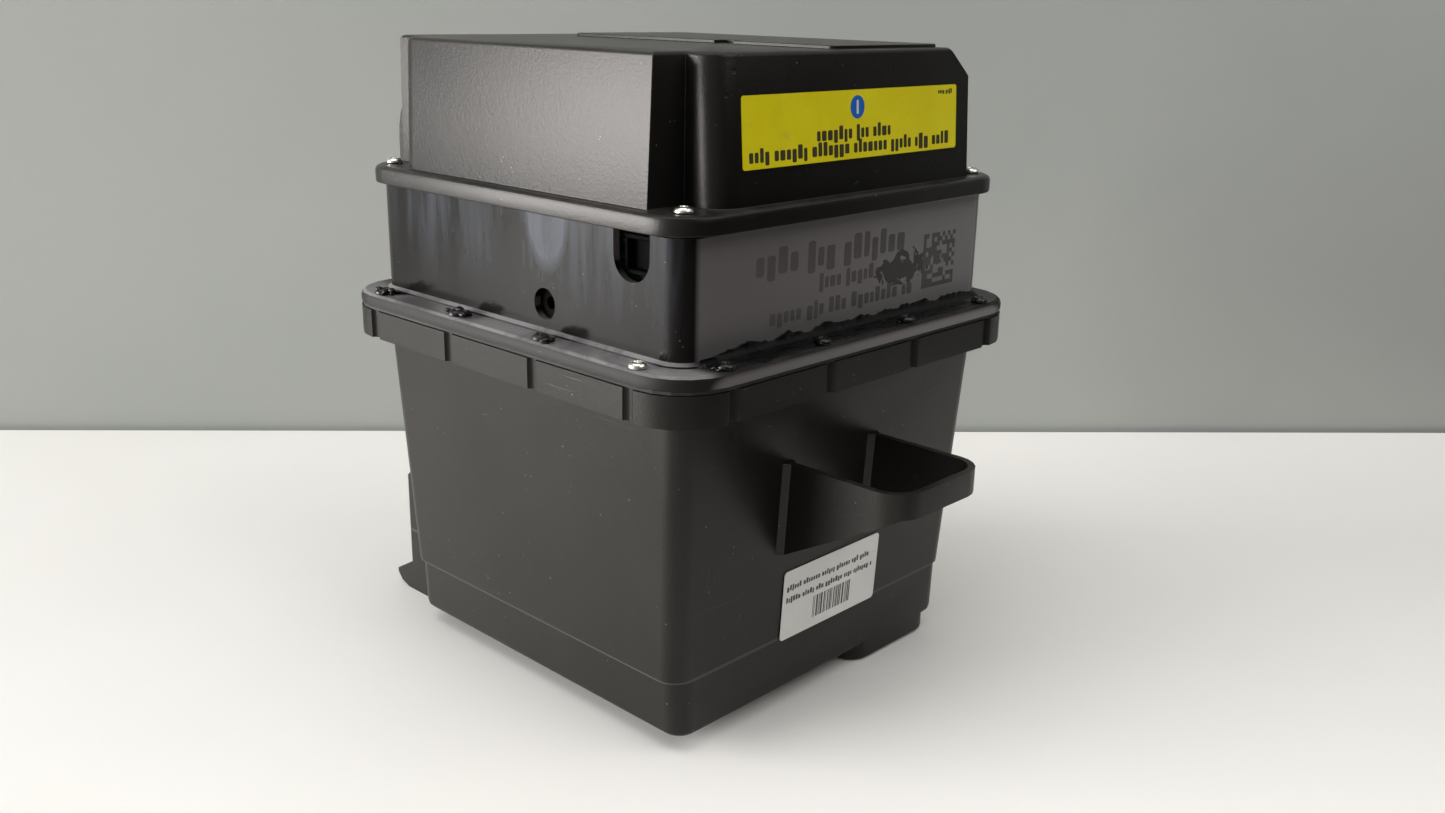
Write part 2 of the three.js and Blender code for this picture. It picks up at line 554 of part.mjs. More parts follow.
function motorParts() {
  const [x, y] = DRIVE_AT;
  const canZ = MOTOR_Z + MOTOR_PLATE_T + GAP;
  const top = canZ + MOTOR_H;
  const plate = cut(rod(x, y, MOTOR_R, MOTOR_Z, MOTOR_Z + MOTOR_PLATE_T, 24),
    rod(x, y, SHAFT_R + GAP, MOTOR_Z - 1, canZ, 16));
  const can = cut(
    turned(x, y, [[0, canZ], [MOTOR_R, canZ], [MOTOR_R, top - 1.5], [MOTOR_R - 1.5, top], [8, top],
      [8, top + 3], [0, top + 3]], 24),
    rod(x, y, MOTOR_R - 2, canZ - 1, top - 2, 20),
  );
  const rotor = turned(x, y, [[0, PUMP_Z + 3 + GAP], [SHAFT_R, PUMP_Z + 3 + GAP], [SHAFT_R, canZ + 6],
    [MOTOR_R - 6, canZ + 6], [MOTOR_R - 6, top - 8], [SHAFT_R, top - 8], [SHAFT_R, top - 3],
    [0, top - 3]], 20);
  const driveGear = cut(gear(DRIVE_AT, 0), rod(x, y, SHAFT_R + GAP, GEAR_Z - 1, PUMP_TOP, 16));
  return { plate, can, rotor, driveGear };
}

function idlerGear() {
  const ends = [PUMP_Z + 3 + GAP, PUMP_TOP + GAP + PUMP_COVER_T - 1.5 - GAP];
  return join(gear(IDLER_AT, Math.PI / GEAR_TEETH), rod(...IDLER_AT, SHAFT_R, ...ends, 16));
}

// ---- filter, damper, valves and sensor -----------------------------------------------------
const FILTER_AT = [-BAY + 38, BAY - 38];
const DAMPER_AT = [-BAY + 69, -BAY + 67];
const FILTER_HEAD_H = 12;

function filterHead() {
  const [x, y] = FILTER_AT;
  const z = DECK_Z + GAP;
  const block = prism(roundRect(x - 24, x + 24, y - 24, y + 24, 4), z, z + FILTER_HEAD_H);
  return cut(block, rod(x, y, 4, DECK_Z - 1, DECK_Z + FILTER_HEAD_H + 2, 16));
}

function mainFilter() {
  const [x, y] = FILTER_AT;
  const z = DECK_Z + FILTER_HEAD_H + 2 * GAP;
  const top = z + FILTER_H;
  const shell = turned(x, y, [[0, z], [FILTER_R - 4, z], [FILTER_R - 4, z + 5], [FILTER_R, z + 6],
    [FILTER_R, z + 10], [FILTER_R - 2, z + 11], [FILTER_R - 2, top - 10], [FILTER_R - 6, top - 2],
    [10, top], [7, top], [7, top + 5], [0, top + 5]], 24);
  return cut(shell, turned(x, y, [[0, z - 1], [6, z - 1], [6, z + 4], [FILTER_R - 5, z + 8],
    [FILTER_R - 5, top - 11], [0, top - 4]], 12));
}

function damper() {
  const [x, y] = DAMPER_AT;
  const z = DECK_Z + GAP;
  const seam = z + DAMPER_H * 0.45;
  const base = turned(x, y, [[0, z], [DAMPER_R - 4, z], [DAMPER_R - 2, z + 3], [DAMPER_R - 2, seam - 3],
    [DAMPER_R, seam - 3], [DAMPER_R, seam], [0, seam]]);
  const lid = turned(x, y, [[0, seam + GAP], [DAMPER_R, seam + GAP], [DAMPER_R, seam + 3],
    [DAMPER_R - 3, seam + 4], [DAMPER_R - 8, z + DAMPER_H - 2], [0, z + DAMPER_H]]);
  return { base, lid };
}

const BLOCK_MID = [BAY - 10 - BLOCK.x / 2, -BAY + 8 + BLOCK.y / 2];
const BLOCK_TOP = DECK_Z + GAP + BLOCK.z;
const valveX = Array.from({ length: VALVES }, (_, i) => BLOCK_MID[0] + (i - (VALVES - 1) / 2) * VALVE_PITCH);

function manifoldBlock() {
  const [x, y] = BLOCK_MID;
  const block = box(x - BLOCK.x / 2, x + BLOCK.x / 2, y - BLOCK.y / 2, y + BLOCK.y / 2,
    DECK_Z + GAP, BLOCK_TOP);
  const gallery = rodX(x - BLOCK.x / 2 - 1, x + BLOCK.x / 2 + 1, y, DECK_Z + BLOCK.z / 2, 3, 12);
  return cut(block, gallery, ...valveX.map((vx) => rod(vx, y, 1.5, DECK_Z + BLOCK.z / 2, BLOCK_TOP + 1, 8)));
}

function valve(x) {
  const y = BLOCK_MID[1];
  const z = BLOCK_TOP + GAP;
  const coil = turned(x, y, [[0, z], [VALVE_R, z], [VALVE_R, z + 3], [VALVE_R - 1.5, z + 4],
    [VALVE_R - 1.5, z + VALVE_H - 4], [VALVE_R, z + VALVE_H - 3], [VALVE_R, z + VALVE_H],
    [0, z + VALVE_H]], 16);
  const bore = rod(x, y, PLUNGER_R + GAP, z - 1, z + GAP + PLUNGER_L + PLUNGER_TRAVEL + GAP, 12);
  return cut(coil, bore, rod(x, y, 1.5, z, z + VALVE_H + 1, 8));
}

const plunger = (x) =>
  rod(x, BLOCK_MID[1], PLUNGER_R, BLOCK_TOP + 2 * GAP, BLOCK_TOP + 2 * GAP + PLUNGER_L, 12);

function pressureSensor() {
  const x = BLOCK_MID[0] - BLOCK.x / 2 + SENSOR_R + 1;
  return turned(x, BLOCK_MID[1], [[0, BLOCK_TOP + GAP], [SENSOR_R, BLOCK_TOP + GAP],
    [SENSOR_R, BLOCK_TOP + 6], [SENSOR_R - 1, BLOCK_TOP + 7], [SENSOR_R - 1, BLOCK_TOP + 15],
    [0, BLOCK_TOP + 15]], 16);
}

// ---- board, socket and port fitting ---------------------------------------------------------
function circuitBoard() {
  const x = -BAY + 6;
  const y0 = -COVER_REACH + COVER_WALL + GAP;
  const z0 = DECK_Z + GAP;
  const chips = [[8, 44, 14, 10], [27, 56, 10, 12], [31, 24, 12, 8]].map(([y, z, w, h]) =>
    box(x + BOARD.t - 0.5, x + BOARD.t + 2, y0 + y, y0 + y + w, z0 + z, z0 + z + h));
  return join(box(x, x + BOARD.t, y0, y0 + BOARD.y, z0, z0 + BOARD.z), ...chips);
}

function harnessSocket() {
  const x1 = -BAY + 6 - GAP;
  const body = box(x1 - SOCKET.x, x1, SLOT_Y - SOCKET.y / 2, SLOT_Y + SOCKET.y / 2, SLOT_Z - SOCKET.z / 2,
    SLOT_Z + SOCKET.z / 2);
  return cut(body, box(x1 - SOCKET.x - 1, x1 - 1.5, SLOT_Y - SOCKET.y / 2 + 1.5, SLOT_Y + SOCKET.y / 2 - 1.5,
    SLOT_Z - SOCKET.z / 2 + 1.5, SLOT_Z + SOCKET.z / 2 - 1.5));
}

function portFitting() {
  const seat = -BAY + GAP;
  return cut(
    join(rodX(seat, seat + 3, PORT_Y, PORT_Z, PORT_R + 2), rodX(seat, seat + 20, PORT_Y, PORT_Z, FITTING_R),
      rodX(seat + 16, seat + 18, PORT_Y, PORT_Z, FITTING_R + 0.8)),
    rodX(seat - 1, seat + 21, PORT_Y, PORT_Z, FITTING_R - 1.6, 12),
  );
}

// ---- what hangs in the tank ----------------------------------------------------------------
const TANK_FLOOR = FLOOR_Z + TANK_WALL;
const COLLAR_H = 4;

function hangingTube([x, y], r, bore, z0) {
  const collar = rod(x, y, r + 3.5, DECK_Z + GAP, DECK_Z + GAP + COLLAR_H);
  const spout = rod(x, y, r, z0, DECK_Z + COLLAR_H + 9);
  return cut(join(collar, spout), rod(x, y, bore, z0 - 1, DECK_Z + COLLAR_H + 10, 10));
}

function floatStem() {
  const [x, y] = FLOAT_AT;
  const low = TANK_FLOOR + FLOAT_LOW - 6;
  const collar = rod(x, y, STEM_R + 5, DECK_Z + GAP, DECK_Z + GAP + COLLAR_H);
  return join(collar, rod(x, y, STEM_R, low, DECK_Z + COLLAR_H + 6), rod(x, y, STEM_R + 4, low, low + 3));
}

function levelFloat() {
  const [x, y] = FLOAT_AT;
  const z = TANK_FLOOR + FLOAT_LOW;
  const body = turned(x, y, [[0, z], [FLOAT_R - 3, z], [FLOAT_R, z + 3], [FLOAT_R, z + FLOAT_H - 3],
    [FLOAT_R - 3, z + FLOAT_H], [0, z + FLOAT_H]]);
  return cut(body, rod(x, y, STEM_R + 2 * GAP, z - 1, z + FLOAT_H + 1));
}

function strainer() {
  const [x, y] = PICKUP_AT;
  const z = TANK_WALL + 1;
  const top = z + STRAINER_H;
  const windows = Array.from({ length: 2 }, (_, i) => i * 6 + z + 3).map((level) =>
    cut(rod(x, y, STRAINER_R + 1, level, level + 3), rod(x, y, STRAINER_R - 0.8, level, level + 3)));
  return cut(rod(x, y, STRAINER_R, z, top), rod(x, y, STRAINER_R - 2.4, z + 2, top - 2, 12),
    rod(x, y, PICKUP_R + 2 * GAP, top - 3, top + 1), ...windows);
}

// ---- assembly ------------------------------------------------------------------------------
const motor = motorParts();
const pulse = damper();
place("reservoir_tank", tank(), TUB);
place("tank_gasket", gasket(FLANGE_HALF - 0.6, FLANGE_R - 0.6, FLANGE_HALF - TANK_INSET_X + TANK_WALL / 2,
  TANK_R, RIM_Z + GAP, RIM_Z + GAP + GASKET_T, flangeScrews), RUBBER);
place("manifold_housing", manifoldHousing(), GLOSS);
place("cover_seal", gasket(HOUSING_HALF - 0.6, HOUSING_R - 0.6, BAY, HOUSING_R - HOUSING_WALL,
  HOUSING_TOP + GAP, HOUSING_TOP + GAP + COVER_SEAL_T, coverScrews), RUBBER);
place("top_cover", topCover(), SATIN);
for (const [name, x, y] of flangeScrews) place(name, panScrew(x, y, SHELF_Z, SHELF_Z - SKIRT_Z - 2), STEEL);
for (const [name, x, y] of coverScrews) place(name, panScrew(x, y, COVER_WALL_Z, COVER_FLANGE_T + 12), STEEL);
place("yellow_label", yellowLabel(), YELLOW);
place("white_label", whiteLabel(), PAPER);
place("pump_body", pumpBody(), ALLOY);
place("pump_cover", pumpCover(), ALLOY);
place("motor_plate", motor.plate, STEEL);
place("motor_can", motor.can, STEEL);
place("motor_rotor", motor.rotor, STEEL);
place("drive_gear", motor.driveGear, BRASS);
place("idler_gear", idlerGear(), BRASS);
place("filter_head", filterHead(), NATURAL);
place("main_filter", mainFilter(), NATURAL);
place("damper_base", pulse.base, SATIN);
place("damper_lid", pulse.lid, SATIN);
place("manifold_block", manifoldBlock(), ALLOY);
valveX.forEach((x, i) => place(`valve_coil_${i + 1}`, valve(x), SATIN));
valveX.forEach((x, i) => place(`valve_plunger_${i + 1}`, plunger(x), STEEL));
place("pressure_sensor", pressureSensor(), BRASS);
place("circuit_board", circuitBoard(), BOARD_GREEN);
place("harness_socket", harnessSocket(), SATIN);
place("port_fitting", portFitting(), SATIN);
place("float_stem", floatStem(), STEEL);
place("level_float", levelFloat(), SATIN);
place("pickup_tube", hangingTube(PICKUP_AT, PICKUP_R, PICKUP_R - 1.6, TANK_WALL + STRAINER_H - 7), STEEL);
place("suction_strainer", strainer(), NATURAL);
place("return_tube", hangingTube(RETURN_AT, RETURN_R, RETURN_R - 1.4, FLANGE_Z - RETURN_L), STEEL);

export default core;
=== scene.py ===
"""Looks of an ink core: the ink tank, manifold housing and cover of a date coder.

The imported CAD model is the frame. Shells are copied from it and given soft edges, screws,
labels, sealant and ink are added, and every finish is procedural. Metres, +Z up.
"""
import json
import math
import random

import bmesh
import bpy
from mathutils import Matrix, Vector, noise


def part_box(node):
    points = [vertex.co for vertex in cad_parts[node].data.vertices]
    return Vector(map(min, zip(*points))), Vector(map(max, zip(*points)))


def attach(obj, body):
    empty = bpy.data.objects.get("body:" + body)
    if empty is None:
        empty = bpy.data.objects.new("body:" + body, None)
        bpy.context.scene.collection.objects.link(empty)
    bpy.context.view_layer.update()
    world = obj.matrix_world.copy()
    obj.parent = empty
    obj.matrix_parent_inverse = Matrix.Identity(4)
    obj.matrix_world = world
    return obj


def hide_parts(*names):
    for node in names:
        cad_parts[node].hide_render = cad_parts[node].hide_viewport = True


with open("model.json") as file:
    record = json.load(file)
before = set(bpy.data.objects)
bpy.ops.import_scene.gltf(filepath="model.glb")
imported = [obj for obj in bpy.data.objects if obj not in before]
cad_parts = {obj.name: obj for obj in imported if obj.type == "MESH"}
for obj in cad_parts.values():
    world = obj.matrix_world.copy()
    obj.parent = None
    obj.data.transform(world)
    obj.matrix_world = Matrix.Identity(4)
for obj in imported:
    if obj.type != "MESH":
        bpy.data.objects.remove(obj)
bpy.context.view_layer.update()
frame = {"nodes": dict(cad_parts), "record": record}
nodes = frame["nodes"]
MM = 0.001

# ---- places taken from the frame -----------------------------------------------------------
housing_low, housing_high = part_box("manifold_housing")
yellow_low, yellow_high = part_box("yellow_label")
white_low, white_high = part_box("white_label")
port_low, port_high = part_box("port_fitting")
MIDDLE_Y = (housing_low.y + housing_high.y) / 2
FLANGE_HALF = housing_high.x
FLANGE_UNDER = housing_low.z
FLANGE_T = 4.9 * MM
SHELF_Z = FLANGE_UNDER + FLANGE_T
HOUSING_INSET = 13 * MM  # flange edge to housing wall
HOUSING_HALF = FLANGE_HALF - HOUSING_INSET
HOUSING_FRONT = MIDDLE_Y - HOUSING_HALF
LEDGE_Z = 32.2 * MM  # the small ledge round the foot of the tank


# ---- node helpers --------------------------------------------------------------------------
class Tree:
    """A node tree that is filled in by short calls."""

    def __init__(self, tree):
        self.tree = tree
        self.nodes = tree.nodes
        self.links = tree.links

    def add(self, kind, settings=None, **inputs):
        node = self.nodes.new(kind)
        for name, value in (settings or {}).items():
            setattr(node, name, value)
        for name, value in inputs.items():
            self.feed(node, name.replace("_", " "), value)
        return node

    def feed(self, node, name, value):
        socket = node.inputs[int(name)] if name.isdigit() else node.inputs[name]
        if isinstance(value, bpy.types.NodeSocket):
            self.links.new(value, socket)
        else:
            socket.default_value = value

    def math(self, operation, a, b=0.0, clamp=False):
        node = self.nodes.new("ShaderNodeMath")
        node.operation = operation
        node.use_clamp = clamp
        self.feed(node, "0", a)
        self.feed(node, "1", b)
        return node.outputs[0]

    def noise(self, where, scale, detail=4.0, roughness=0.55, distortion=0.0):
        node = self.add("ShaderNodeTexNoise", None, Vector=where, Scale=scale, Detail=detail,
                        Roughness=roughness, Distortion=distortion)
        return node.outputs["Fac"]

    def stretched(self, where, scale, turn=(0, 0, 0)):
        node = self.add("ShaderNodeMapping", None, Vector=where, Scale=scale, Rotation=turn)
        return node.outputs[0]

    def steps(self, value, low, high, to_low=0.0, to_high=1.0):
        node = self.add("ShaderNodeMapRange", {"interpolation_type": "SMOOTHSTEP"}, Value=value)
        for name, number in (("From Min", low), ("From Max", high), ("To Min", to_low), ("To Max", to_high)):
            self.feed(node, name, number)
        return node.outputs[0]

    def blend(self, share, first, second, mode="MIX"):
        node = self.nodes.new("ShaderNodeMix")
        node.data_type = "RGBA"
        node.blend_type = mode
        self.feed(node, "0", share)
        self.feed(node, "6", first)
        self.feed(node, "7", second)
        return node.outputs[2]


def effect(name, sockets, results):
    """An empty shader group with named inputs and outputs."""
    group = bpy.data.node_groups.new(name, "ShaderNodeTree")
    for label, kind, value in sockets:
        socket = group.interface.new_socket(label, in_out="INPUT", socket_type=kind)
        if value is not None:
            socket.default_value = value
    for label, kind in results:
        group.interface.new_socket(label, in_out="OUTPUT", socket_type=kind)
    tree = Tree(group)
    entry = tree.nodes.new("NodeGroupInput")
    leave = tree.nodes.new("NodeGroupOutput")
    return group, tree, entry.outputs, leave


FLOAT, VECTOR = "NodeSocketFloat", "NodeSocketVector"


def moulded_grain():
    """Spark-eroded mould texture: a fine height and a slow drift in gloss."""
    group, tree, inp, leave = effect("Moulded Grain",
        [("Place", VECTOR, None), ("Grain Size", FLOAT, 1800.0), ("Drift Size", FLOAT, 14.0)],
        [("Height", FLOAT), ("Drift", FLOAT)])
    fine = tree.noise(inp["Place"], inp["Grain Size"], 2.0, 0.6)
    pits = tree.add("ShaderNodeTexVoronoi", None, Vector=inp["Place"],
                    Scale=tree.math("MULTIPLY", inp["Grain Size"], 0.45)).outputs["Distance"]
    tree.feed(leave, "Height", tree.math("ADD", fine, tree.math("MULTIPLY", pits, 0.5)))
    tree.feed(leave, "Drift", tree.noise(inp["Place"], inp["Drift Size"], 3.0, 0.6, 0.4))
    return group


def handling_marks():
    """Thin scuffs in two directions and a few deeper nicks."""
    group, tree, inp, leave = effect("Handling Marks",
        [("Place", VECTOR, None), ("Density", FLOAT, 0.5)], [("Scratches", FLOAT), ("Nicks", FLOAT)])
    lines = []
    for turn, scale in (((0.2, 0.5, 0.4), (900, 900, 16)), ((1.1, -0.3, 0.9), (700, 14, 900)),
                        ((-0.4, 0.8, 1.7), (12, 800, 600))):
        field = tree.noise(tree.stretched(inp["Place"], scale, turn), 1.0, 1.0, 0.4)
        lines.append(tree.steps(field, 0.71, 0.76))
    where = tree.noise(inp["Place"], 19.0, 3.0, 0.6)
    gate = tree.steps(where, tree.math("SUBTRACT", 0.78, tree.math("MULTIPLY", inp["Density"], 0.4)), 0.8)
    both = tree.math("MAXIMUM", tree.math("MAXIMUM", lines[0], lines[1]), lines[2])
    tree.feed(leave, "Scratches", tree.math("MULTIPLY", both, gate))
    chips = tree.add("ShaderNodeTexVoronoi", None, Vector=inp["Place"], Scale=95.0).outputs["Distance"]
    picked = tree.steps(tree.noise(inp["Place"], 43.0, 1.0), 0.66, 0.72)
    tree.feed(leave, "Nicks", tree.math("MULTIPLY", tree.steps(chips, 0.12, 0.05), picked))
    return group


def settled_dust():
    """Pale specks, and a thin film on faces that look up."""
    group, tree, inp, leave = effect("Settled Dust",
        [("Place", VECTOR, None), ("Amount", FLOAT, 0.4)], [("Mask", FLOAT)])
    up = tree.add("ShaderNodeSeparateXYZ", None,
                  Vector=tree.nodes.new("ShaderNodeNewGeometry").outputs["Normal"]).outputs["Z"]
    film = tree.math("MULTIPLY", tree.steps(up, 0.3, 0.95),
                     tree.steps(tree.noise(inp["Place"], 38.0, 8.0, 0.72), 0.3, 0.85))
    cells = tree.add("ShaderNodeTexVoronoi", None, Vector=inp["Place"], Scale=420.0)
    specks = tree.math("MULTIPLY", tree.steps(cells.outputs["Distance"], 0.16, 0.08),
                       tree.steps(tree.noise(inp["Place"], 160.0, 1.0), 0.62, 0.7))
    total = tree.math("ADD", tree.math("MULTIPLY", film, 0.28), specks)
    tree.feed(leave, "Mask", tree.math("MULTIPLY", total, inp["Amount"], clamp=True))
    return group


def worn_edges():
    """The rounded edges of a piece, broken up by noise. The piece carries how sharp it is there."""
    group, tree, inp, leave = effect("Worn Edges",
        [("Place", VECTOR, None), ("Amount", FLOAT, 0.5)], [("Mask", FLOAT)])
    sharp = tree.add("ShaderNodeAttribute", {"attribute_name": "edge_turn"}).outputs["Fac"]
    broken = tree.steps(tree.noise(inp["Place"], 120.0, 5.0, 0.7), 0.42, 0.62)
    mask = tree.math("MULTIPLY", tree.steps(sharp, 0.15, 0.6), broken)
    tree.feed(leave, "Mask", tree.math("MULTIPLY", mask, inp["Amount"], clamp=True))
    return group


def ink_and_sheen_streaks():
    """Runs and wipe marks of ink, and streaks of painted reflection, that hang down a wall, wide above and
    thin below.
    """
    group, tree, inp, leave = effect("Wiped Ink",
        [("Place", VECTOR, None), ("Width", FLOAT, 90.0)], [("Streaks", FLOAT), ("Clouds", FLOAT)])
    along = tree.add("ShaderNodeMapping", None, Vector=inp["Place"], Scale=(1.0, 1.0, 0.10)).outputs[0]
    wide = tree.noise(along, inp["Width"], 4.0, 0.62, 0.5)
    thin = tree.noise(along, tree.math("MULTIPLY", inp["Width"], 4.0), 3.0, 0.6)
    both = tree.math("ADD", tree.math("MULTIPLY", wide, 0.7), tree.math("MULTIPLY", thin, 0.3))
    tree.feed(leave, "Streaks", tree.steps(both, 0.38, 0.70))
    tree.feed(leave, "Clouds", tree.steps(tree.noise(inp["Place"], 26.0, 5.0, 0.65, 0.8), 0.35, 0.7))
    return group


GRAIN, MARKS, DUST, WORN, INK_AND_SHEEN = (moulded_grain(), handling_marks(), settled_dust(), worn_edges(),
                                   ink_and_sheen_streaks())


class Finish(Tree):
    """A material whose Principled shader is fed by the shared effects."""

    def __init__(self, name, **constants):
        self.material = bpy.data.materials.new(name)
        self.material.use_nodes = True
        super().__init__(self.material.node_tree)
        self.shader = self.nodes["Principled BSDF"]
        self.place = self.nodes.new("ShaderNodeTexCoord").outputs["Object"]
        for socket, value in constants.items():
            self.shader.inputs[socket.replace("_", " ")].default_value = value

    def use(self, group, **inputs):
        node = self.nodes.new("ShaderNodeGroup")
        node.node_tree = group
        self.feed(node, "Place", self.place)
        for name, value in inputs.items():
            self.feed(node, name.replace("_", " "), value)
        return node.outputs

    def set(self, name, value):
        self.feed(self.shader, name, value)

    def bump(self, height, distance, strength=1.0):
        node = self.nodes.new("ShaderNodeBump")
        node.inputs["Strength"].default_value = strength
        node.inputs["Distance"].default_value = distance
        self.links.new(height, node.inputs["Height"])
        self.links.new(node.outputs[0], self.shader.inputs["Normal"])


def rgb(r, g, b):
    return (r, g, b, 1.0)


def plastic(name, colour, pale, rough, spread, grain, depth, dust, marks, wear, shine=0.42, ledge=None):
    """Black moulded plastic: grain, gloss drift, scuffs, pale edges, dust, and a painted highlight line along
    a ledge.
    """
    made = Finish(name, Specular_IOR_Level=shine, Specular_Tint=rgb(1.0, 0.955, 0.925))
    moulded = made.use(GRAIN, Grain_Size=grain)
    scuffs = made.use(MARKS, Density=marks)
    edges = made.use(WORN, Amount=wear)["Mask"]
    dusty = made.use(DUST, Amount=dust)["Mask"]
    base = made.blend(made.steps(moulded["Drift"], 0.3, 0.7), colour, pale)
    scraped = made.blend(made.math("MULTIPLY", scuffs["Scratches"], 0.35), base, rgb(0.12, 0.115, 0.105))
    rubbed = made.blend(edges, scraped, rgb(0.09, 0.086, 0.08))
    # Painted highlight: a paler line along the ledge stands for the light caught by its edge.
    if ledge:
        height = made.add("ShaderNodeSeparateXYZ", None, Vector=made.place).outputs["Z"]
        apart = made.math("ABSOLUTE", made.math("SUBTRACT", height, ledge))
        ledge_highlight = made.steps(apart, 0.9 * MM, 0.4 * MM, 0.0, 0.8)
        rubbed = made.blend(ledge_highlight, rubbed, rgb(0.055, 0.053, 0.048))
    made.set("Base Color", made.blend(dusty, rubbed, rgb(0.42, 0.40, 0.37)))
    gloss = made.math("ADD", made.math("MULTIPLY", moulded["Drift"], spread), rough - spread / 2)
    gloss = made.math("ADD", gloss, made.math("MULTIPLY", made.math("ADD", dusty, scuffs["Scratches"]), 0.2))
    made.set("Roughness", gloss)
    dents = made.math("ADD", made.math("MULTIPLY", scuffs["Scratches"], 0.8), scuffs["Nicks"])
    made.bump(made.math("SUBTRACT", moulded["Height"], made.math("MULTIPLY", dents, 2.0)), depth)
    return made


def tank_plastic():
    made = plastic("tank satin black", rgb(0.0052, 0.0049, 0.0040), rgb(0.0078, 0.0073, 0.0061),
                   0.36, 0.10, 2200.0, 0.00004, 0.3, 0.5, 0.35, 0.30, LEDGE_Z)
    return made.material


def cover_plastic():
    made = plastic("cover satin black", rgb(0.0055, 0.0050, 0.0046), rgb(0.0085, 0.0078, 0.0074),
                   0.33, 0.06, 1500.0, 0.00005, 0.35, 0.45, 0.3, 0.28)
    return made.material


def housing_plastic():
    """Glossy resin under ink left by wiping: streaks on the side walls and a broad pale patch above the port,
    each partly ink and partly painted reflection, a dry haze on the flange, one spill.
    """
    made = Finish("housing glossy black", Specular_IOR_Level=0.24)
    ink = made.use(INK_AND_SHEEN, Width=70.0)
    scuffs = made.use(MARKS, Density=0.45)
    edges = made.use(WORN, Amount=0.35)["Mask"]
    dusty = made.use(DUST, Amount=0.25)["Mask"]
    split = made.add("ShaderNodeSeparateXYZ", None, Vector=made.place).outputs
    facing = made.add("ShaderNodeSeparateXYZ", None,
                      Vector=made.nodes.new("ShaderNodeNewGeometry").outputs["Normal"]).outputs
    side = made.steps(made.math("ABSOLUTE", facing["X"]), 0.6, 0.9)
    front = made.steps(facing["Y"], -0.93, -0.995)
    high = made.steps(split["Z"], SHELF_Z, SHELF_Z + 45 * MM)
    # Streaks on the side walls, partly ink and partly painted reflection of the room.
    streak_ink_and_sheen = made.math("MULTIPLY", made.math("MULTIPLY", ink["Streaks"], side), high)
    # A broad pale patch above the port, partly ink and partly painted reflection of the room.
    pale_patch_distance = made.add("ShaderNodeVectorMath", {"operation": "LENGTH"}, Vector=made.add(
        "ShaderNodeMapping", None, Vector=made.place, Scale=(0.0, 66.0, 34.0),
        Location=(0.0, -66.0 * (port_low.y + port_high.y) / 2 + 0.12, -34.0 * (port_high.z + 31 * MM)),
        ).outputs[0]).outputs["Value"]
    patch_ink_and_sheen = made.math("MULTIPLY", made.steps(pale_patch_distance, 1.0, 0.7), side)
    patch_ink_and_sheen = made.math("MULTIPLY", patch_ink_and_sheen, made.math("ADD", made.math("MULTIPLY", ink["Streaks"], 0.5), 0.7))
    film = made.math("MAXIMUM", made.math("MULTIPLY", streak_ink_and_sheen, 0.6), patch_ink_and_sheen)
    shelf = made.math("MULTIPLY", made.steps(facing["Z"], 0.5, 0.9),
                      made.steps(split["X"], -FLANGE_HALF + 22 * MM, -FLANGE_HALF + 14 * MM))
    haze = made.math("MULTIPLY", shelf, made.steps(ink["Clouds"], -0.6, 0.8), clamp=True)
    rim = made.math("MULTIPLY", made.steps(split["Z"], SHELF_Z + 1 * MM, SHELF_Z - 0.1 * MM),
                    made.steps(facing["Z"], 0.98, 0.9))
    spill = made.add("ShaderNodeVectorMath", {"operation": "LENGTH"}, Vector=made.add(
        "ShaderNodeMapping", None, Vector=made.place, Location=(-1.7, 0.0, -25.6), Scale=(46.0, 0.0, 143.0),
        ).outputs[0]).outputs["Value"]
    ragged = made.steps(made.noise(made.place, 85.0, 3.0, 0.6, 1.5), 0.3, 0.7, -0.7, 0.7)
    spill = made.math("ADD", spill, ragged)
    spilt = made.math("MULTIPLY", made.steps(spill, 0.66, 0.56, 0.0, 0.9), front)
    ahead = made.blend(made.steps(split["X"], -HOUSING_HALF, HOUSING_HALF), rgb(0.135, 0.124, 0.125),
                       rgb(0.20, 0.19, 0.19))
    base = made.blend(front, rgb(0.007, 0.006, 0.0055), ahead)
    # Painted reflection: the bluish grey laid over the streaks and patch is partly ink and partly a painted
    # reflection.
    base = made.blend(made.math("MULTIPLY", film, 0.7), base, rgb(0.078, 0.088, 0.108))
    base = made.blend(made.math("MULTIPLY", haze, 0.55), base, rgb(0.33, 0.315, 0.325))
    base = made.blend(edges, base, rgb(0.12, 0.11, 0.115))
    base = made.blend(made.math("MULTIPLY", spilt, 0.8), base, rgb(0.008, 0.007, 0.007))
    made.set("Base Color", made.blend(dusty, base, rgb(0.40, 0.38, 0.36)))
    gloss = made.math("ADD", made.math("MULTIPLY", film, 0.14), 0.17)
    gloss = made.math("ADD", gloss, made.math("MULTIPLY", made.steps(facing["Z"], 0.1, 0.6), 0.22))
    gloss = made.math("ADD", gloss, made.math("MULTIPLY", rim, 0.36))
    gloss = made.math("ADD", gloss, made.math("MULTIPLY", made.math("SUBTRACT", front, spilt), 0.12))
    made.set("Roughness", made.math("ADD", gloss, made.math("MULTIPLY", dusty, 0.25), clamp=True))
    wave = made.noise(made.stretched(made.place, (1, 1, 0.4)), 60.0, 3.0, 0.6)
    relief = made.math("ADD", wave, made.math("MULTIPLY", film, 0.25))
    relief = made.math("SUBTRACT", relief, scuffs["Scratches"])
    made.bump(made.math("ADD", relief, made.math("MULTIPLY", spilt, 0.5)), 0.00012, 0.6)
    return made.material


def rubber():
    made = Finish("seal rubber")
    grain = made.use(GRAIN, Grain_Size=900.0)
    made.set("Base Color", made.blend(grain["Drift"], rgb(0.008, 0.008, 0.008), rgb(0.02, 0.02, 0.019)))
    made.set("Roughness", made.steps(grain["Drift"], 0.3, 0.7, 0.62, 0.8))
    made.bump(grain["Height"], 0.00003)
    return made.material


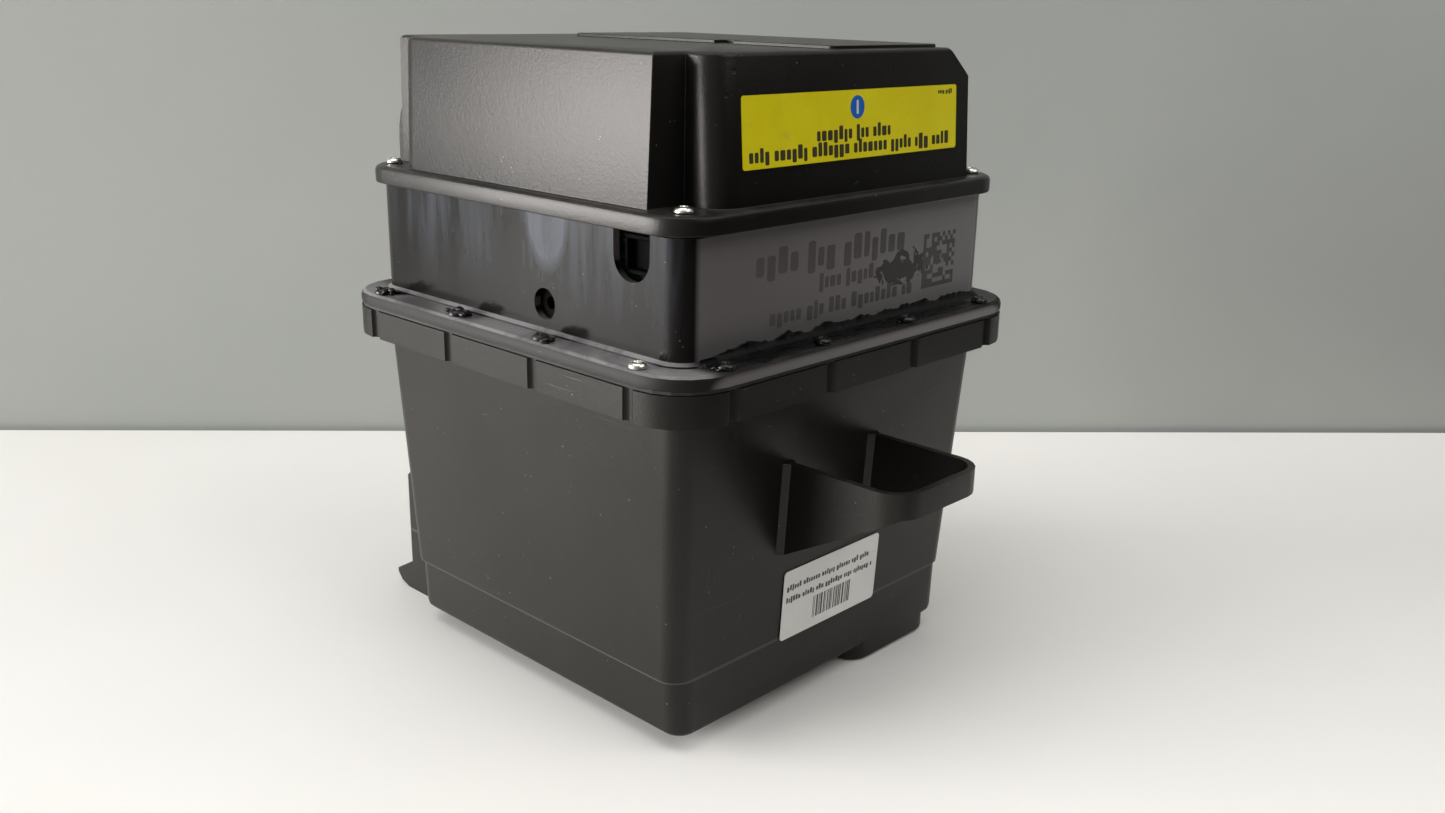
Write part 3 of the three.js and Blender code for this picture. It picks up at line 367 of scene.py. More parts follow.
def metal(name, bright, dull, rough, stretch, tint):
    """Bare metal with the marks of its making along one direction, and stain in the hollows."""
    made = Finish(name, Metallic=1.0)
    lines = made.noise(made.stretched(made.place, stretch), 1.0, 3.0, 0.6)
    stain = made.noise(made.place, 170.0, 4.0, 0.65)
    scuffs = made.use(MARKS, Density=0.6)
    base = made.blend(made.steps(lines, 0.35, 0.65), dull, bright)
    base = made.blend(made.steps(stain, 0.55, 0.75, 0.0, 0.55), base, tint)
    made.set("Base Color", base)
    made.set("Roughness", made.math("ADD", made.steps(lines, 0.3, 0.7, rough - 0.08, rough + 0.08),
                                    made.math("MULTIPLY", scuffs["Scratches"], 0.2)))
    made.bump(made.math("SUBTRACT", lines, scuffs["Nicks"]), 0.00003)
    return made.material


def natural_plastic():
    made = Finish("natural acetal", Subsurface_Weight=0.15, Subsurface_Scale=0.002)
    grain = made.use(GRAIN, Grain_Size=1200.0)
    scuffs = made.use(MARKS, Density=0.3)
    base = made.blend(grain["Drift"], rgb(0.62, 0.60, 0.52), rgb(0.74, 0.72, 0.64))
    share = made.math("MULTIPLY", scuffs["Scratches"], 0.4)
    made.set("Base Color", made.blend(share, base, rgb(0.3, 0.29, 0.26)))
    made.set("Roughness", made.steps(grain["Drift"], 0.3, 0.7, 0.38, 0.5))
    made.bump(grain["Height"], 0.00003)
    return made.material


def solder_mask():
    """Green board: copper tracks show through as paler lines, with tinned dots."""
    made = Finish("board green")
    flat = made.stretched(made.place, (1, 1, 1))
    cells = made.add("ShaderNodeTexVoronoi", {"feature": "F1", "distance": "CHEBYCHEV"}, Vector=flat,
                     Scale=190.0).outputs["Distance"]
    tracks = made.steps(made.math("ABSOLUTE", made.math("SUBTRACT", cells, 0.34)), 0.05, 0.02)
    solder = made.add("ShaderNodeTexVoronoi", None, Vector=flat, Scale=330.0)
    dots = made.steps(solder.outputs["Distance"], 0.2, 0.14)
    drift = made.use(GRAIN, Grain_Size=700.0)
    base = made.blend(drift["Drift"], rgb(0.012, 0.085, 0.03), rgb(0.02, 0.12, 0.045))
    base = made.blend(made.math("MULTIPLY", tracks, 0.7), base, rgb(0.05, 0.26, 0.10))
    made.set("Base Color", made.blend(made.math("MULTIPLY", dots, 0.8), base, rgb(0.6, 0.58, 0.5)))
    made.set("Roughness", made.steps(drift["Drift"], 0.3, 0.7, 0.3, 0.45))
    made.bump(made.math("ADD", tracks, dots), 0.00005)
    return made.material


def printed_film(name, colour, faded, rough):
    """Printed label stock: slight fading, a fine screen, rub marks and grey dirt near the edges."""
    made = Finish(name)
    drift = made.noise(made.place, 30.0, 4.0, 0.6)
    screen = made.add("ShaderNodeTexVoronoi", None, Vector=made.place, Scale=2600.0).outputs["Distance"]
    scuffs = made.use(MARKS, Density=0.55)
    base = made.blend(made.steps(drift, 0.35, 0.7), colour, faded)
    base = made.blend(made.math("MULTIPLY", scuffs["Scratches"], 0.35), base, rgb(0.25, 0.24, 0.2))
    dirt = made.steps(made.noise(made.place, 90.0, 5.0, 0.7), 0.6, 0.8, 0.0, 0.22)
    made.set("Base Color", made.blend(dirt, base, rgb(0.2, 0.19, 0.17)))
    made.set("Roughness", made.steps(drift, 0.3, 0.7, rough - 0.06, rough + 0.06))
    made.bump(made.math("ADD", screen, made.noise(made.place, 300.0, 2.0)), 0.00002)
    return made.material


def print_ink(name, colour, rough=0.5):
    """Toner on a label, a little broken where it has been rubbed."""
    made = Finish(name)
    rub = made.steps(made.noise(made.place, 700.0, 4.0, 0.7), 0.35, 0.75, 0.0, 0.5)
    softer = tuple(0.8 * c + 0.02 for c in colour[:3]) + (1.0,)
    made.set("Base Color", made.blend(rub, colour, softer))
    made.set("Roughness", made.steps(rub, 0.0, 0.5, rough, rough + 0.15))
    made.bump(rub, 0.00001)
    return made.material


def dried(name, thin, shine, rough, relief):
    """Dried black sealant or ink: glossy where it pooled, dull and greyer where it skinned over."""
    made = Finish(name, Specular_IOR_Level=shine)
    lumps = made.noise(made.place, 420.0, 5.0, 0.6, 0.6)
    skin = made.steps(made.noise(made.place, 130.0, 3.0), 0.4, 0.65)
    made.set("Base Color", made.blend(skin, rgb(0.0015, 0.0015, 0.0018), thin))
    made.set("Roughness", made.steps(skin, 0.0, 1.0, rough, rough + 0.25))
    made.bump(lumps, relief, 0.7)
    return made.material


TANK = tank_plastic()
HOUSING = housing_plastic()
COVER = cover_plastic()
RUBBER = rubber()
ZINC = metal("zinc plated steel", rgb(0.86, 0.83, 0.76), rgb(0.66, 0.64, 0.58), 0.24, (90, 90, 900),
             rgb(0.42, 0.34, 0.2))
STEEL = metal("drawn steel", rgb(0.72, 0.72, 0.72), rgb(0.5, 0.5, 0.51), 0.28, (900, 900, 40),
              rgb(0.3, 0.28, 0.25))
ALLOY = metal("milled alloy", rgb(0.80, 0.81, 0.83), rgb(0.6, 0.61, 0.63), 0.34, (60, 1400, 1400),
              rgb(0.4, 0.4, 0.4))
BRASS = metal("hobbed brass", rgb(0.78, 0.58, 0.26), rgb(0.55, 0.38, 0.14), 0.3, (900, 900, 60),
              rgb(0.3, 0.18, 0.07))
NATURAL = natural_plastic()
BOARD = solder_mask()
NOTICE = printed_film("yellow label film", rgb(0.80, 0.68, 0.0), rgb(0.86, 0.76, 0.005), 0.34)
ETCHED = print_ink("etched marking", rgb(0.075, 0.067, 0.067), 0.38)
PAPER = printed_film("white label paper", rgb(0.70, 0.70, 0.68), rgb(0.76, 0.76, 0.73), 0.55)
TONER = print_ink("label toner", rgb(0.035, 0.028, 0.004))
GREY_TONER = print_ink("label toner grey", rgb(0.05, 0.05, 0.05))
BLUE_INK = print_ink("label blue", rgb(0.0, 0.13, 0.55), 0.4)
WHITE_INK = print_ink("label white", rgb(0.75, 0.76, 0.76), 0.4)
SEALANT = dried("dried sealant", rgb(0.006, 0.0055, 0.0055), 0.4, 0.16, 0.00035)
DRY_INK = dried("dried ink", rgb(0.004, 0.0038, 0.0038), 0.14, 0.22, 0.00008)
# Near-black with almost no sheen: on the harness socket and port fitting it is painted shade for the depth of
# their openings; on the chip caps it is their own black.
BLACK_AND_PAINTED_SHADE = plastic("deep black nylon", rgb(0.0012, 0.0012, 0.0012), rgb(0.002, 0.002, 0.002),
               0.7, 0.05, 1500.0, 0.00003, 0.0, 0.0, 0.0, 0.04).material

SLOT_FINISH = {
    "tank_plastic": TANK, "housing_plastic": HOUSING, "cover_plastic": COVER, "seal_rubber": RUBBER,
    "screw_steel": ZINC, "notice_label": NOTICE, "paper_label": PAPER, "machined_alloy": ALLOY,
    "steel": STEEL, "gear_brass": BRASS, "natural_plastic": NATURAL, "board": BOARD,
}
record = frame["record"]
slot_of = {row["node"]: row["material_slot"] for row in record["subparts"]}
body_of = {node: body for body, members in record["behaviour"]["bodies"].items() for node in members}


# ---- mesh helpers --------------------------------------------------------------------------
def new_piece(name, mesh, material):
    piece = bpy.data.objects.new(name, mesh)
    bpy.context.scene.collection.objects.link(piece)
    mesh.materials.clear()
    mesh.materials.append(material)
    return piece


def settle(piece, body, slot, *stands_for):
    """Applies the piece's modifiers, and ties it to a body. The slot argument is not used."""
    view = bpy.context.evaluated_depsgraph_get()
    piece.data = bpy.data.meshes.new_from_object(piece.evaluated_get(view))
    piece.modifiers.clear()
    mark_edges(piece.data)
    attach(piece, body)
    if stands_for:
        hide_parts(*stands_for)
    return piece


def mark_edges(mesh):
    """Stores on each corner point how far the faces round it turn, and nothing beside a broad face."""
    turn = [0.0] * len(mesh.vertices)
    flat = set()
    first = {}
    for polygon in mesh.polygons:
        corners = [mesh.vertices[v].co for v in polygon.vertices]
        round_it = sum((a - b).length for a, b in zip(corners, corners[1:] + corners[:1]))
        if polygon.area > 0.4 * MM * round_it:
            flat.update(polygon.vertices)
        for vertex in polygon.vertices:
            if vertex in first:
                turn[vertex] = max(turn[vertex], 1 - first[vertex].dot(polygon.normal))
            else:
                first[vertex] = polygon.normal.copy()
    layer = mesh.attributes.new("edge_turn", "FLOAT", "POINT")
    layer.data.foreach_set("value", [0.0 if i in flat else min(1.0, t * 2) for i, t in enumerate(turn)])


def joined_copy(node):
    """A CAD node's mesh with its loose triangles merged back into whole faces."""
    mesh = nodes[node].data.copy()
    form = bmesh.new()
    form.from_mesh(mesh)
    bmesh.ops.remove_doubles(form, verts=form.verts, dist=2e-6)
    bmesh.ops.dissolve_limit(form, angle_limit=math.radians(0.7), verts=form.verts, edges=form.edges)
    form.to_mesh(mesh)
    form.free()
    mesh.shade_smooth()
    if "custom_normal" in mesh.attributes:
        mesh.attributes.remove(mesh.attributes["custom_normal"])
    return mesh


def soften(piece, width, steps=3, angle=26.0):
    bevel = piece.modifiers.new("soft edges", "BEVEL")
    bevel.width = width
    bevel.segments = steps
    bevel.limit_method = "ANGLE"
    bevel.angle_limit = math.radians(angle)
    bevel.miter_outer = "MITER_ARC"
    bevel.harden_normals = True
    return piece


def soft_copy(node, width, steps=3, angle=26.0, suffix="_shell"):
    piece = new_piece(node + suffix, joined_copy(node), SLOT_FINISH[slot_of[node]])
    soften(piece, width, steps, angle)
    return settle(piece, body_of[node], slot_of[node], node)


# ---- shells and the pieces inside ----------------------------------------------------------
EDGE = {
    "reservoir_tank": 0.8, "manifold_housing": 0.45, "top_cover": 0.6, "pump_body": 0.5, "pump_cover": 0.5,
    "motor_plate": 0.4, "motor_can": 0.5, "filter_head": 0.6, "main_filter": 0.6, "damper_base": 0.5,
    "damper_lid": 0.5, "manifold_block": 0.5, "pressure_sensor": 0.3, "harness_socket": 0.3,
    "port_fitting": 0.3, "suction_strainer": 0.3, "level_float": 0.6, "circuit_board": 0.2,
    "drive_gear": 0.15, "idler_gear": 0.15,
}
for node, width in EDGE.items():
    soft_copy(node, width * MM, 3 if width > 0.45 else 2)
for index in (1, 2, 3):
    soft_copy(f"valve_coil_{index}", 0.4 * MM, 2)
# Painted shade: the socket and port fitting sit deep in their openings and get the near-black finish to stand
# for the shade there.
for node in ("harness_socket", "port_fitting"):
    bpy.data.objects[node + "_shell"].data.materials[0] = BLACK_AND_PAINTED_SHADE
for node, thing in nodes.items():
    thing.data.materials.clear()
    thing.data.materials.append(SLOT_FINISH[slot_of[node]])

# ---- repeated pieces made by Geometry Nodes ------------------------------------------------
class Shape(Tree):
    """A geometry node tree with named inputs that ends in Realize Instances and Set Material."""

    def __init__(self, name, inputs):
        group = bpy.data.node_groups.new(name, "GeometryNodeTree")
        group.interface.new_socket("Geometry", in_out="INPUT", socket_type="NodeSocketGeometry")
        for label, kind, value in inputs:
            group.interface.new_socket(label, in_out="INPUT", socket_type=kind).default_value = value
        group.interface.new_socket("Material", in_out="INPUT", socket_type="NodeSocketMaterial")
        group.interface.new_socket("Geometry", in_out="OUTPUT", socket_type="NodeSocketGeometry")
        super().__init__(group)
        self.inp = self.nodes.new("NodeGroupInput").outputs
        self.leave = self.nodes.new("NodeGroupOutput")

    def finish(self, instances):
        whole = self.add("GeometryNodeRealizeInstances", None, Geometry=instances).outputs[0]
        done = self.add("GeometryNodeSetMaterial", None, Geometry=whole, Material=self.inp["Material"])
        self.links.new(done.outputs[0], self.leave.inputs[0])
        return self.tree

    def curve(self, value, points):
        """A number that follows straight lines through the given points."""
        node = self.add("ShaderNodeFloatCurve", None, Value=value)
        line = node.mapping.curves[0]
        line.points[0].location = points[0]
        line.points[1].location = points[-1]
        for point in points[1:-1]:
            line.points.new(*point)
        for point in line.points:
            point.handle_type = "VECTOR"
        node.mapping.update()
        return node.outputs[0]

    def xyz(self, x, y, z):
        return self.add("ShaderNodeCombineXYZ", None, X=x, Y=y, Z=z).outputs[0]


def turned_head(profile, drive_points, drive_depth):
    """Tree: a screw head turned from a profile of (radius, height) shares, with a wavy drive recess."""
    tree = Shape("turned screw head", [
        ("Head Radius", FLOAT, 3.5 * MM), ("Head Height", FLOAT, 2.6 * MM), ("Drive Radius", FLOAT, 1.5 * MM),
        ("Sides", "NodeSocketInt", 48), ("Seed", "NodeSocketInt", 1)])
    inp = tree.inp
    count = len(profile)
    grid = tree.add("GeometryNodeMeshGrid", None, Size_X=1.0, Size_Y=1.0, Vertices_Y=count)
    tree.links.new(tree.math("ADD", inp["Sides"], 1.0), grid.inputs["Vertices X"])
    position = tree.nodes.new("GeometryNodeInputPosition").outputs[0]
    where = tree.add("ShaderNodeSeparateXYZ", None, Vector=position)
    angle = tree.math("MULTIPLY", where.outputs["X"], 2 * math.pi)
    share = tree.math("ADD", where.outputs["Y"], 0.5)
    stops = [i / (count - 1) for i in range(count)]
    radius = tree.curve(share, [(t, r) for t, (r, _) in zip(stops, profile)])
    height = tree.curve(share, [(t, h) for t, (_, h) in zip(stops, profile)])
    inside = tree.steps(radius, 0.5, 0.47)
    wave = tree.math("MULTIPLY", tree.math("COSINE", tree.math("MULTIPLY", angle, drive_points)), 0.14)
    radius = tree.math("MULTIPLY", radius, tree.math("ADD", 1.0, tree.math("MULTIPLY", wave, inside)))
    reach = tree.math("MULTIPLY", radius, inp["Head Radius"])
    low = tree.math("SUBTRACT", height, drive_depth)
    place = tree.xyz(tree.math("MULTIPLY", tree.math("COSINE", angle), reach),
                     tree.math("MULTIPLY", tree.math("SINE", angle), reach),
                     tree.math("MULTIPLY", low, inp["Head Height"]))
    turned = tree.add("GeometryNodeSetPosition", None, Geometry=grid.outputs[0], Position=place).outputs[0]
    closed = tree.add("GeometryNodeMergeByDistance", None, Geometry=turned, Distance=1e-6).outputs[0]
    smooth = tree.add("GeometryNodeSetShadeSmooth", None, Geometry=closed).outputs[0]
    spin = tree.add("FunctionNodeRandomValue", {"data_type": "FLOAT"})
    tree.feed(spin, "3", 2 * math.pi)
    tree.links.new(inp["Seed"], spin.inputs["Seed"])
    turn = tree.xyz(0.0, 0.0, spin.outputs[1])
    spread = tree.add("GeometryNodeInstanceOnPoints", None, Points=inp["Geometry"], Instance=smooth,
                      Rotation=turn).outputs[0]
    return tree.finish(spread)


def grown(name, places, tree, material, **inputs):
    """Runs a tree on a cloud of points and keeps the result as a plain mesh."""
    mesh = bpy.data.meshes.new(name)
    mesh.from_pydata(places, [], [])
    piece = new_piece(name, mesh, material)
    modifier = piece.modifiers.new("made by rule", "NODES")
    modifier.node_group = tree
    for item in tree.interface.items_tree:
        if item.in_out == "INPUT" and item.name in inputs:
            modifier[item.identifier] = inputs[item.name]
        if item.in_out == "INPUT" and item.name == "Material":
            modifier[item.identifier] = material
    return piece


# Radius and height shares from the middle of the recess floor, out over the dome and under the rim.
PAN_PROFILE = [(0.0, 0.55), (0.30, 0.55), (0.40, 0.62), (0.44, 1.18), (0.48, 1.22), (0.60, 1.19),
               (0.74, 1.08), (0.86, 0.90), (0.95, 0.66), (1.0, 0.42), (1.0, 0.24), (0.985, 0.20),
               (0.6, 0.20), (0.0, 0.20)]
PAN_HEAD = turned_head([(r, h * 0.8) for r, h in PAN_PROFILE], 6, 0.16)
SEATS = {}
for node in nodes:
    if "screw" in node:
        low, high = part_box(node)
        SEATS[node] = Vector(((low.x + high.x) / 2, (low.y + high.y) / 2, high.z - 2.6 * MM))


def screws(name, members, material):
    places = [SEATS[m] for m in members]
    piece = grown(name, places, PAN_HEAD, material, Seed=7)
    settle(piece, body_of[members[0]], "screw_steel", *members)


COATED = [f"flange_screw_left_{i}" for i in (2, 3, 4)] + [f"flange_screw_front_{i}" for i in (1, 2, 3, 4)]
screws("cover_screw_heads", sorted(m for m in SEATS if m.startswith("cover")), ZINC)
screws("flange_screw_heads", sorted(m for m in SEATS if m.startswith("flange") and m not in COATED), ZINC)
screws("coated_screw_heads", COATED, SEALANT)

# ---- flat patches: labels, their print, etched marks ---------------------------------------
class Face:
    """A flat patch on a wall. Across and up lie in it, and out points away from the piece."""

    def __init__(self, middle, across, up):
        self.middle = Vector(middle)
        self.across = Vector(across).normalized()
        self.up = Vector(up).normalized()
        self.out = self.across.cross(self.up)

    def at(self, u, v, off):
        return self.middle + self.across * u + self.up * v + self.out * off


def rounded(u0, u1, v0, v1, radius, steps=5):
    corners = ((u1 - radius, v0 + radius, -90), (u1 - radius, v1 - radius, 0),
               (u0 + radius, v1 - radius, 90), (u0 + radius, v0 + radius, 180))
    outline = []
    for u, v, start in corners:
        for step in range(steps + 1):
            angle = math.radians(start + 90 * step / steps)
            outline.append((u + radius * math.cos(angle), v + radius * math.sin(angle)))
    return outline


def disc(u, v, radius, sides=40):
    return [(u + radius * math.cos(2 * math.pi * i / sides), v + radius * math.sin(2 * math.pi * i / sides))
            for i in range(sides)]


def tiles(name, face, outlines, low, high, material):
    """Closed flat tiles, one for each outline, between two distances off a face."""
    points, faces = [], []
    for outline in outlines:
        start, count = len(points), len(outline)
        points += [face.at(u, v, low) for u, v in outline] + [face.at(u, v, high) for u, v in outline]
        faces.append(tuple(start + i for i in reversed(range(count))))
        faces.append(tuple(start + count + i for i in range(count)))
        for i in range(count):
            j = (i + 1) % count
            faces.append((start + i, start + j, start + count + j, start + count + i))
    mesh = bpy.data.meshes.new(name)
    mesh.from_pydata(points, [], faces)
    return new_piece(name, mesh, material)


def filler(u0, u1, base, height, seed):
    """Blank blocks in the rhythm of a line of print, with no letters in it."""
    pick = random.Random(seed)
    outlines, u = [], u0
    while u < u1 - 0.3 * height:
        for _ in range(pick.randint(3, 8)):
            wide = height * pick.uniform(0.34, 0.56)
            if u + wide > u1:
                break
            tall = height * pick.choice((0.72, 0.72, 1.0))
            drop = height * pick.choice((0, 0, 0, 0.22))
            outlines.append(rounded(u, u + wide, base - drop, base + tall, 0.1 * height, 2))
            u += wide + 0.16 * height
        u += 0.4 * height
    return outlines


def stuck(piece, body, slot, *stands_for):
    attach(piece, body)
    if stands_for:
        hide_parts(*stands_for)


def label_face(low, high, thick, way):
    """The outer face of a label that leans back (1) or out (-1) with its wall, from its box."""
    lean = way * (high.y - thick - low.y)
    middle = ((low.x + high.x) / 2, (low.y + high.y - thick) / 2, (low.z + high.z) / 2)
    return Face(middle, (1, 0, 0), (0, lean, high.z - low.z)), (high.x - low.x) / 2, (high.z - low.z) / 2


INK_T = 0.03 * MM
LABEL_T = 0.25 * MM


def notice_label():
    face, u, v = label_face(yellow_low, yellow_high, LABEL_T, 1)
    stuck(tiles("notice_label_film", face, [rounded(-u, u, -v, v, 1.2 * MM)], -LABEL_T, 0, NOTICE),
          "cover", "notice_label", "yellow_label")
    lines = filler(-0.38 * u, 0.33 * u, -0.40 * v, 0.40 * v, 5)
    lines += filler(-0.95 * u, 0.95 * u, -0.83 * v, 0.40 * v, 8)
    lines += filler(0.80 * u, 0.96 * u, 0.74 * v, 0.14 * v, 3)
    stuck(tiles("notice_label_print", face, lines, 0, INK_T, TONER), "cover", "notice_label")
    at = (-0.01 * u, 0.50 * v)
    spot = disc(*at, 4.3 * MM)
    stuck(tiles("notice_label_disc", face, [spot], 0, INK_T, BLUE_INK), "cover", "notice_label")
    bar = rounded(at[0] - 0.6 * MM, at[0] + 0.6 * MM, at[1] - 2.6 * MM, at[1] + 2.6 * MM, 0.55 * MM)
    stuck(tiles("notice_label_bar", face, [bar], INK_T, 2 * INK_T, WHITE_INK), "cover", "notice_label")


def stock_label():
    face, u, v = label_face(white_low, white_high, LABEL_T, -1)
    stuck(tiles("stock_label_paper", face, [rounded(-u, u, -v, v, 1.8 * MM)], -LABEL_T, 0, PAPER),
          "core", "paper_label", "white_label")
    lines = filler(-0.93 * u, 0.80 * u, 0.42 * v, 0.16 * v, 11)
    lines += filler(-0.93 * u, 0.93 * u, 0.07 * v, 0.16 * v, 12)
    pick = random.Random(4)
    at = -0.36 * u
    while at < 0.42 * u:
        wide = pick.choice((0.35, 0.35, 0.7, 1.05)) * MM
        lines.append([(at, -0.72 * v), (at + wide, -0.72 * v), (at + wide, -0.08 * v), (at, -0.08 * v)])
        at += wide + pick.choice((0.35, 0.5, 0.9)) * MM
    stuck(tiles("stock_label_print", face, lines, 0, INK_T, GREY_TONER), "core", "paper_label")


def etched_marks():
    """Plain blocks and a grid where the housing carries its maker's marking."""
    face = Face((0, HOUSING_FRONT, (SHELF_Z + housing_high.z) / 2), (1, 0, 0), (0, 0, 1))
    marks = filler(-56 * MM, 40 * MM, 5 * MM, 10 * MM, 21) + filler(-20 * MM, 16 * MM, -4 * MM, 6 * MM, 22)
    marks += filler(-48 * MM, 42 * MM, -14 * MM, 6 * MM, 23)
    pick = random.Random(9)
    cell, count, left, low = 1.9 * MM, 12, 47 * MM, -13.5 * MM
    for i in range(count):
        for j in range(count):
            if i == 0 or j == 0 or pick.random() < 0.52:
                u, v = left + i * cell, low + j * cell
                marks.append([(u, v), (u + cell, v), (u + cell, v + cell), (u, v + cell)])
    stuck(tiles("etched_marks", face, marks, -INK_T, INK_T, ETCHED), "core", "housing_plastic")


notice_label()
stock_label()
etched_marks()


# ---- small parts on the pump, valves and board ---------------------------------------------
CAP_HEAD = turned_head([(0.0, 0.35), (0.44, 0.35), (0.48, 0.38), (0.52, 0.95), (0.58, 1.0), (0.90, 1.0),
                        (0.98, 0.93), (1.0, 0.85), (1.0, 0.04), (0.97, 0.0), (0.6, 0.0), (0.0, 0.0)], 6, 0.0)


def cap_screws(name, places, radius, height):
    places = [Vector(p) * MM for p in places]
    piece = grown(name, places, CAP_HEAD, STEEL, **{"Head Radius": radius * MM, "Head Height": height * MM})
    settle(piece, "core", "screw_steel")


def bars(name, boxes, material, slot, soft=0.15):
    """Small soft-edged blocks from pairs of opposite corners, in millimetres."""
    form = bmesh.new()
    for low, high in boxes:
        low, high = Vector(low) * MM, Vector(high) * MM
        at = Matrix.Translation((low + high) / 2) @ Matrix.Diagonal((*(high - low), 1))
        bmesh.ops.create_cube(form, size=1, matrix=at)
    mesh = bpy.data.meshes.new(name)
    form.to_mesh(mesh)
    form.free()
    mesh.shade_smooth()
    settle(soften(new_piece(name, mesh, material), soft * MM, 2), "core", slot)


def inner_parts():
    low, high = (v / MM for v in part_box("pump_cover"))
    top = high.z + 0.02
    cap_screws("pump_cap_screws", [(x, y, top) for x in (low.x + 4.4, high.x - 4.4)
                                   for y in (low.y + 4.4, high.y - 4.4)], 2.7, 2.8)
    low, high = (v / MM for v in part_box("manifold_block"))
    top = high.z + 0.02
    coils = [sum(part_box(f"valve_coil_{i}"), Vector()) / 2 / MM for i in (1, 2, 3)]
    gaps = [(coils[0].x + coils[1].x) / 2, (coils[1].x + coils[2].x) / 2, high.x - 4]
    cap_screws("block_cap_screws", [(x, y, top) for x in gaps for y in (low.y + 4.5, high.y - 4.5)], 2.7, 2.8)
    coil_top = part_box("valve_coil_1")[1].z / MM
    blades = [((c.x + dx - 0.4, c.y + 3.2, coil_top - 0.5), (c.x + dx + 0.4, c.y + 6.2, coil_top + 5.5))
              for c in coils for dx in (-4, 4)]
    can = sum(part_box("motor_can"), Vector()) / 2 / MM
    can_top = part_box("motor_can")[1].z / MM
    blades += [((can.x + dx - 0.4, can.y - 1.4, can_top - 0.5), (can.x + dx + 0.4, can.y + 1.4, can_top + 5))
               for dx in (-8, 8)]
    bars("terminal_blades", blades, BRASS, "steel", 0.1)
    low, high = (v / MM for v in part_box("circuit_board"))
    chips = [(8, 44, 14, 10), (27, 56, 10, 12), (31, 24, 12, 8)]
    bars("board_chip_caps", [((high.x - 1.9, low.y + y - 0.05, low.z + z - 0.05),
                              (high.x + 0.05, low.y + y + w + 0.05, low.z + z + h + 0.05))
                             for y, z, w, h in chips], BLACK_AND_PAINTED_SHADE, "board")
    legs = [((high.x - 1.95, low.y + y + w * (i + 0.5) / 8 - 0.2, low.z + z - 1),
             (high.x - 1.5, low.y + y + w * (i + 0.5) / 8 + 0.2, low.z + z + h + 1))
            for y, z, w, h in chips for i in range(8)]
    bars("board_chip_legs", legs, STEEL, "steel", 0.05)
    pick = random.Random(17)
    small = []
    for _ in range(34):
        y, z = pick.uniform(3, 42), pick.uniform(4, 71)
        if all(not (cy - 3.2 < y < cy + w + 2.2 and cz - 3.5 < z < cz + h + 2.5) for cy, cz, w, h in chips):
            small.append(((high.x - 1.95, low.y + y, low.z + z),
                          (high.x - 1.2, low.y + y + 1.6, low.z + z + 0.9)))
    bars("board_small_parts", small, NATURAL, "board", 0.1)


inner_parts()

# ---- sealant and ink -----------------------------------------------------------------------
def lumps(name, blobs, material, body, slot):
    """Soft lumps that flow together: (place, radii) for each."""
    form = bmesh.new()
    for place, radii in blobs:
        at = Matrix.Translation(place) @ Matrix.Diagonal((*radii, 1))
        bmesh.ops.create_icosphere(form, subdivisions=3, radius=1, matrix=at)
    for vertex in form.verts:
        push = noise.noise(vertex.co * 520) * 0.35 * MM + noise.noise(vertex.co * 1400) * 0.12 * MM
        vertex.co += vertex.normal * push
    mesh = bpy.data.meshes.new(name)
    form.to_mesh(mesh)
    form.free()
    piece = new_piece(name, mesh, material)
    flow = piece.modifiers.new("flow together", "REMESH")
    flow.mode = "VOXEL"
    flow.voxel_size = 0.32 * MM
    flow.use_smooth_shade = True
    relax = piece.modifiers.new("relax", "SMOOTH")
    relax.factor = 0.5
    relax.iterations = 4
    return settle(piece, body, slot)


def sealant_on_screws():
    pick = random.Random(31)
    blobs = []
    for member in COATED:
        seat = SEATS[member]
        along = Vector((0, 1, 0)) if "left" in member else Vector((1, 0, 0))
        across = Vector((1, 0, 0)) if "left" in member else Vector((0, 1, 0))
        heavy = "left" in member
        for _ in range(11 if heavy else 5):
            off = along * pick.uniform(-5.6, 4.2) * MM + across * pick.uniform(-2.4, 2.8) * MM
            size = pick.uniform(0.8, 1.9) if heavy else pick.uniform(0.7, 1.3)
            place = seat + off + Vector((0, 0, pick.uniform(0.0, 1.6 if heavy else 0.7) * MM))
            blobs.append((place, (size * MM, size * 1.2 * MM, size * 0.7 * MM)))
    lumps("screw_sealant", blobs, SEALANT, "core", "housing_plastic")


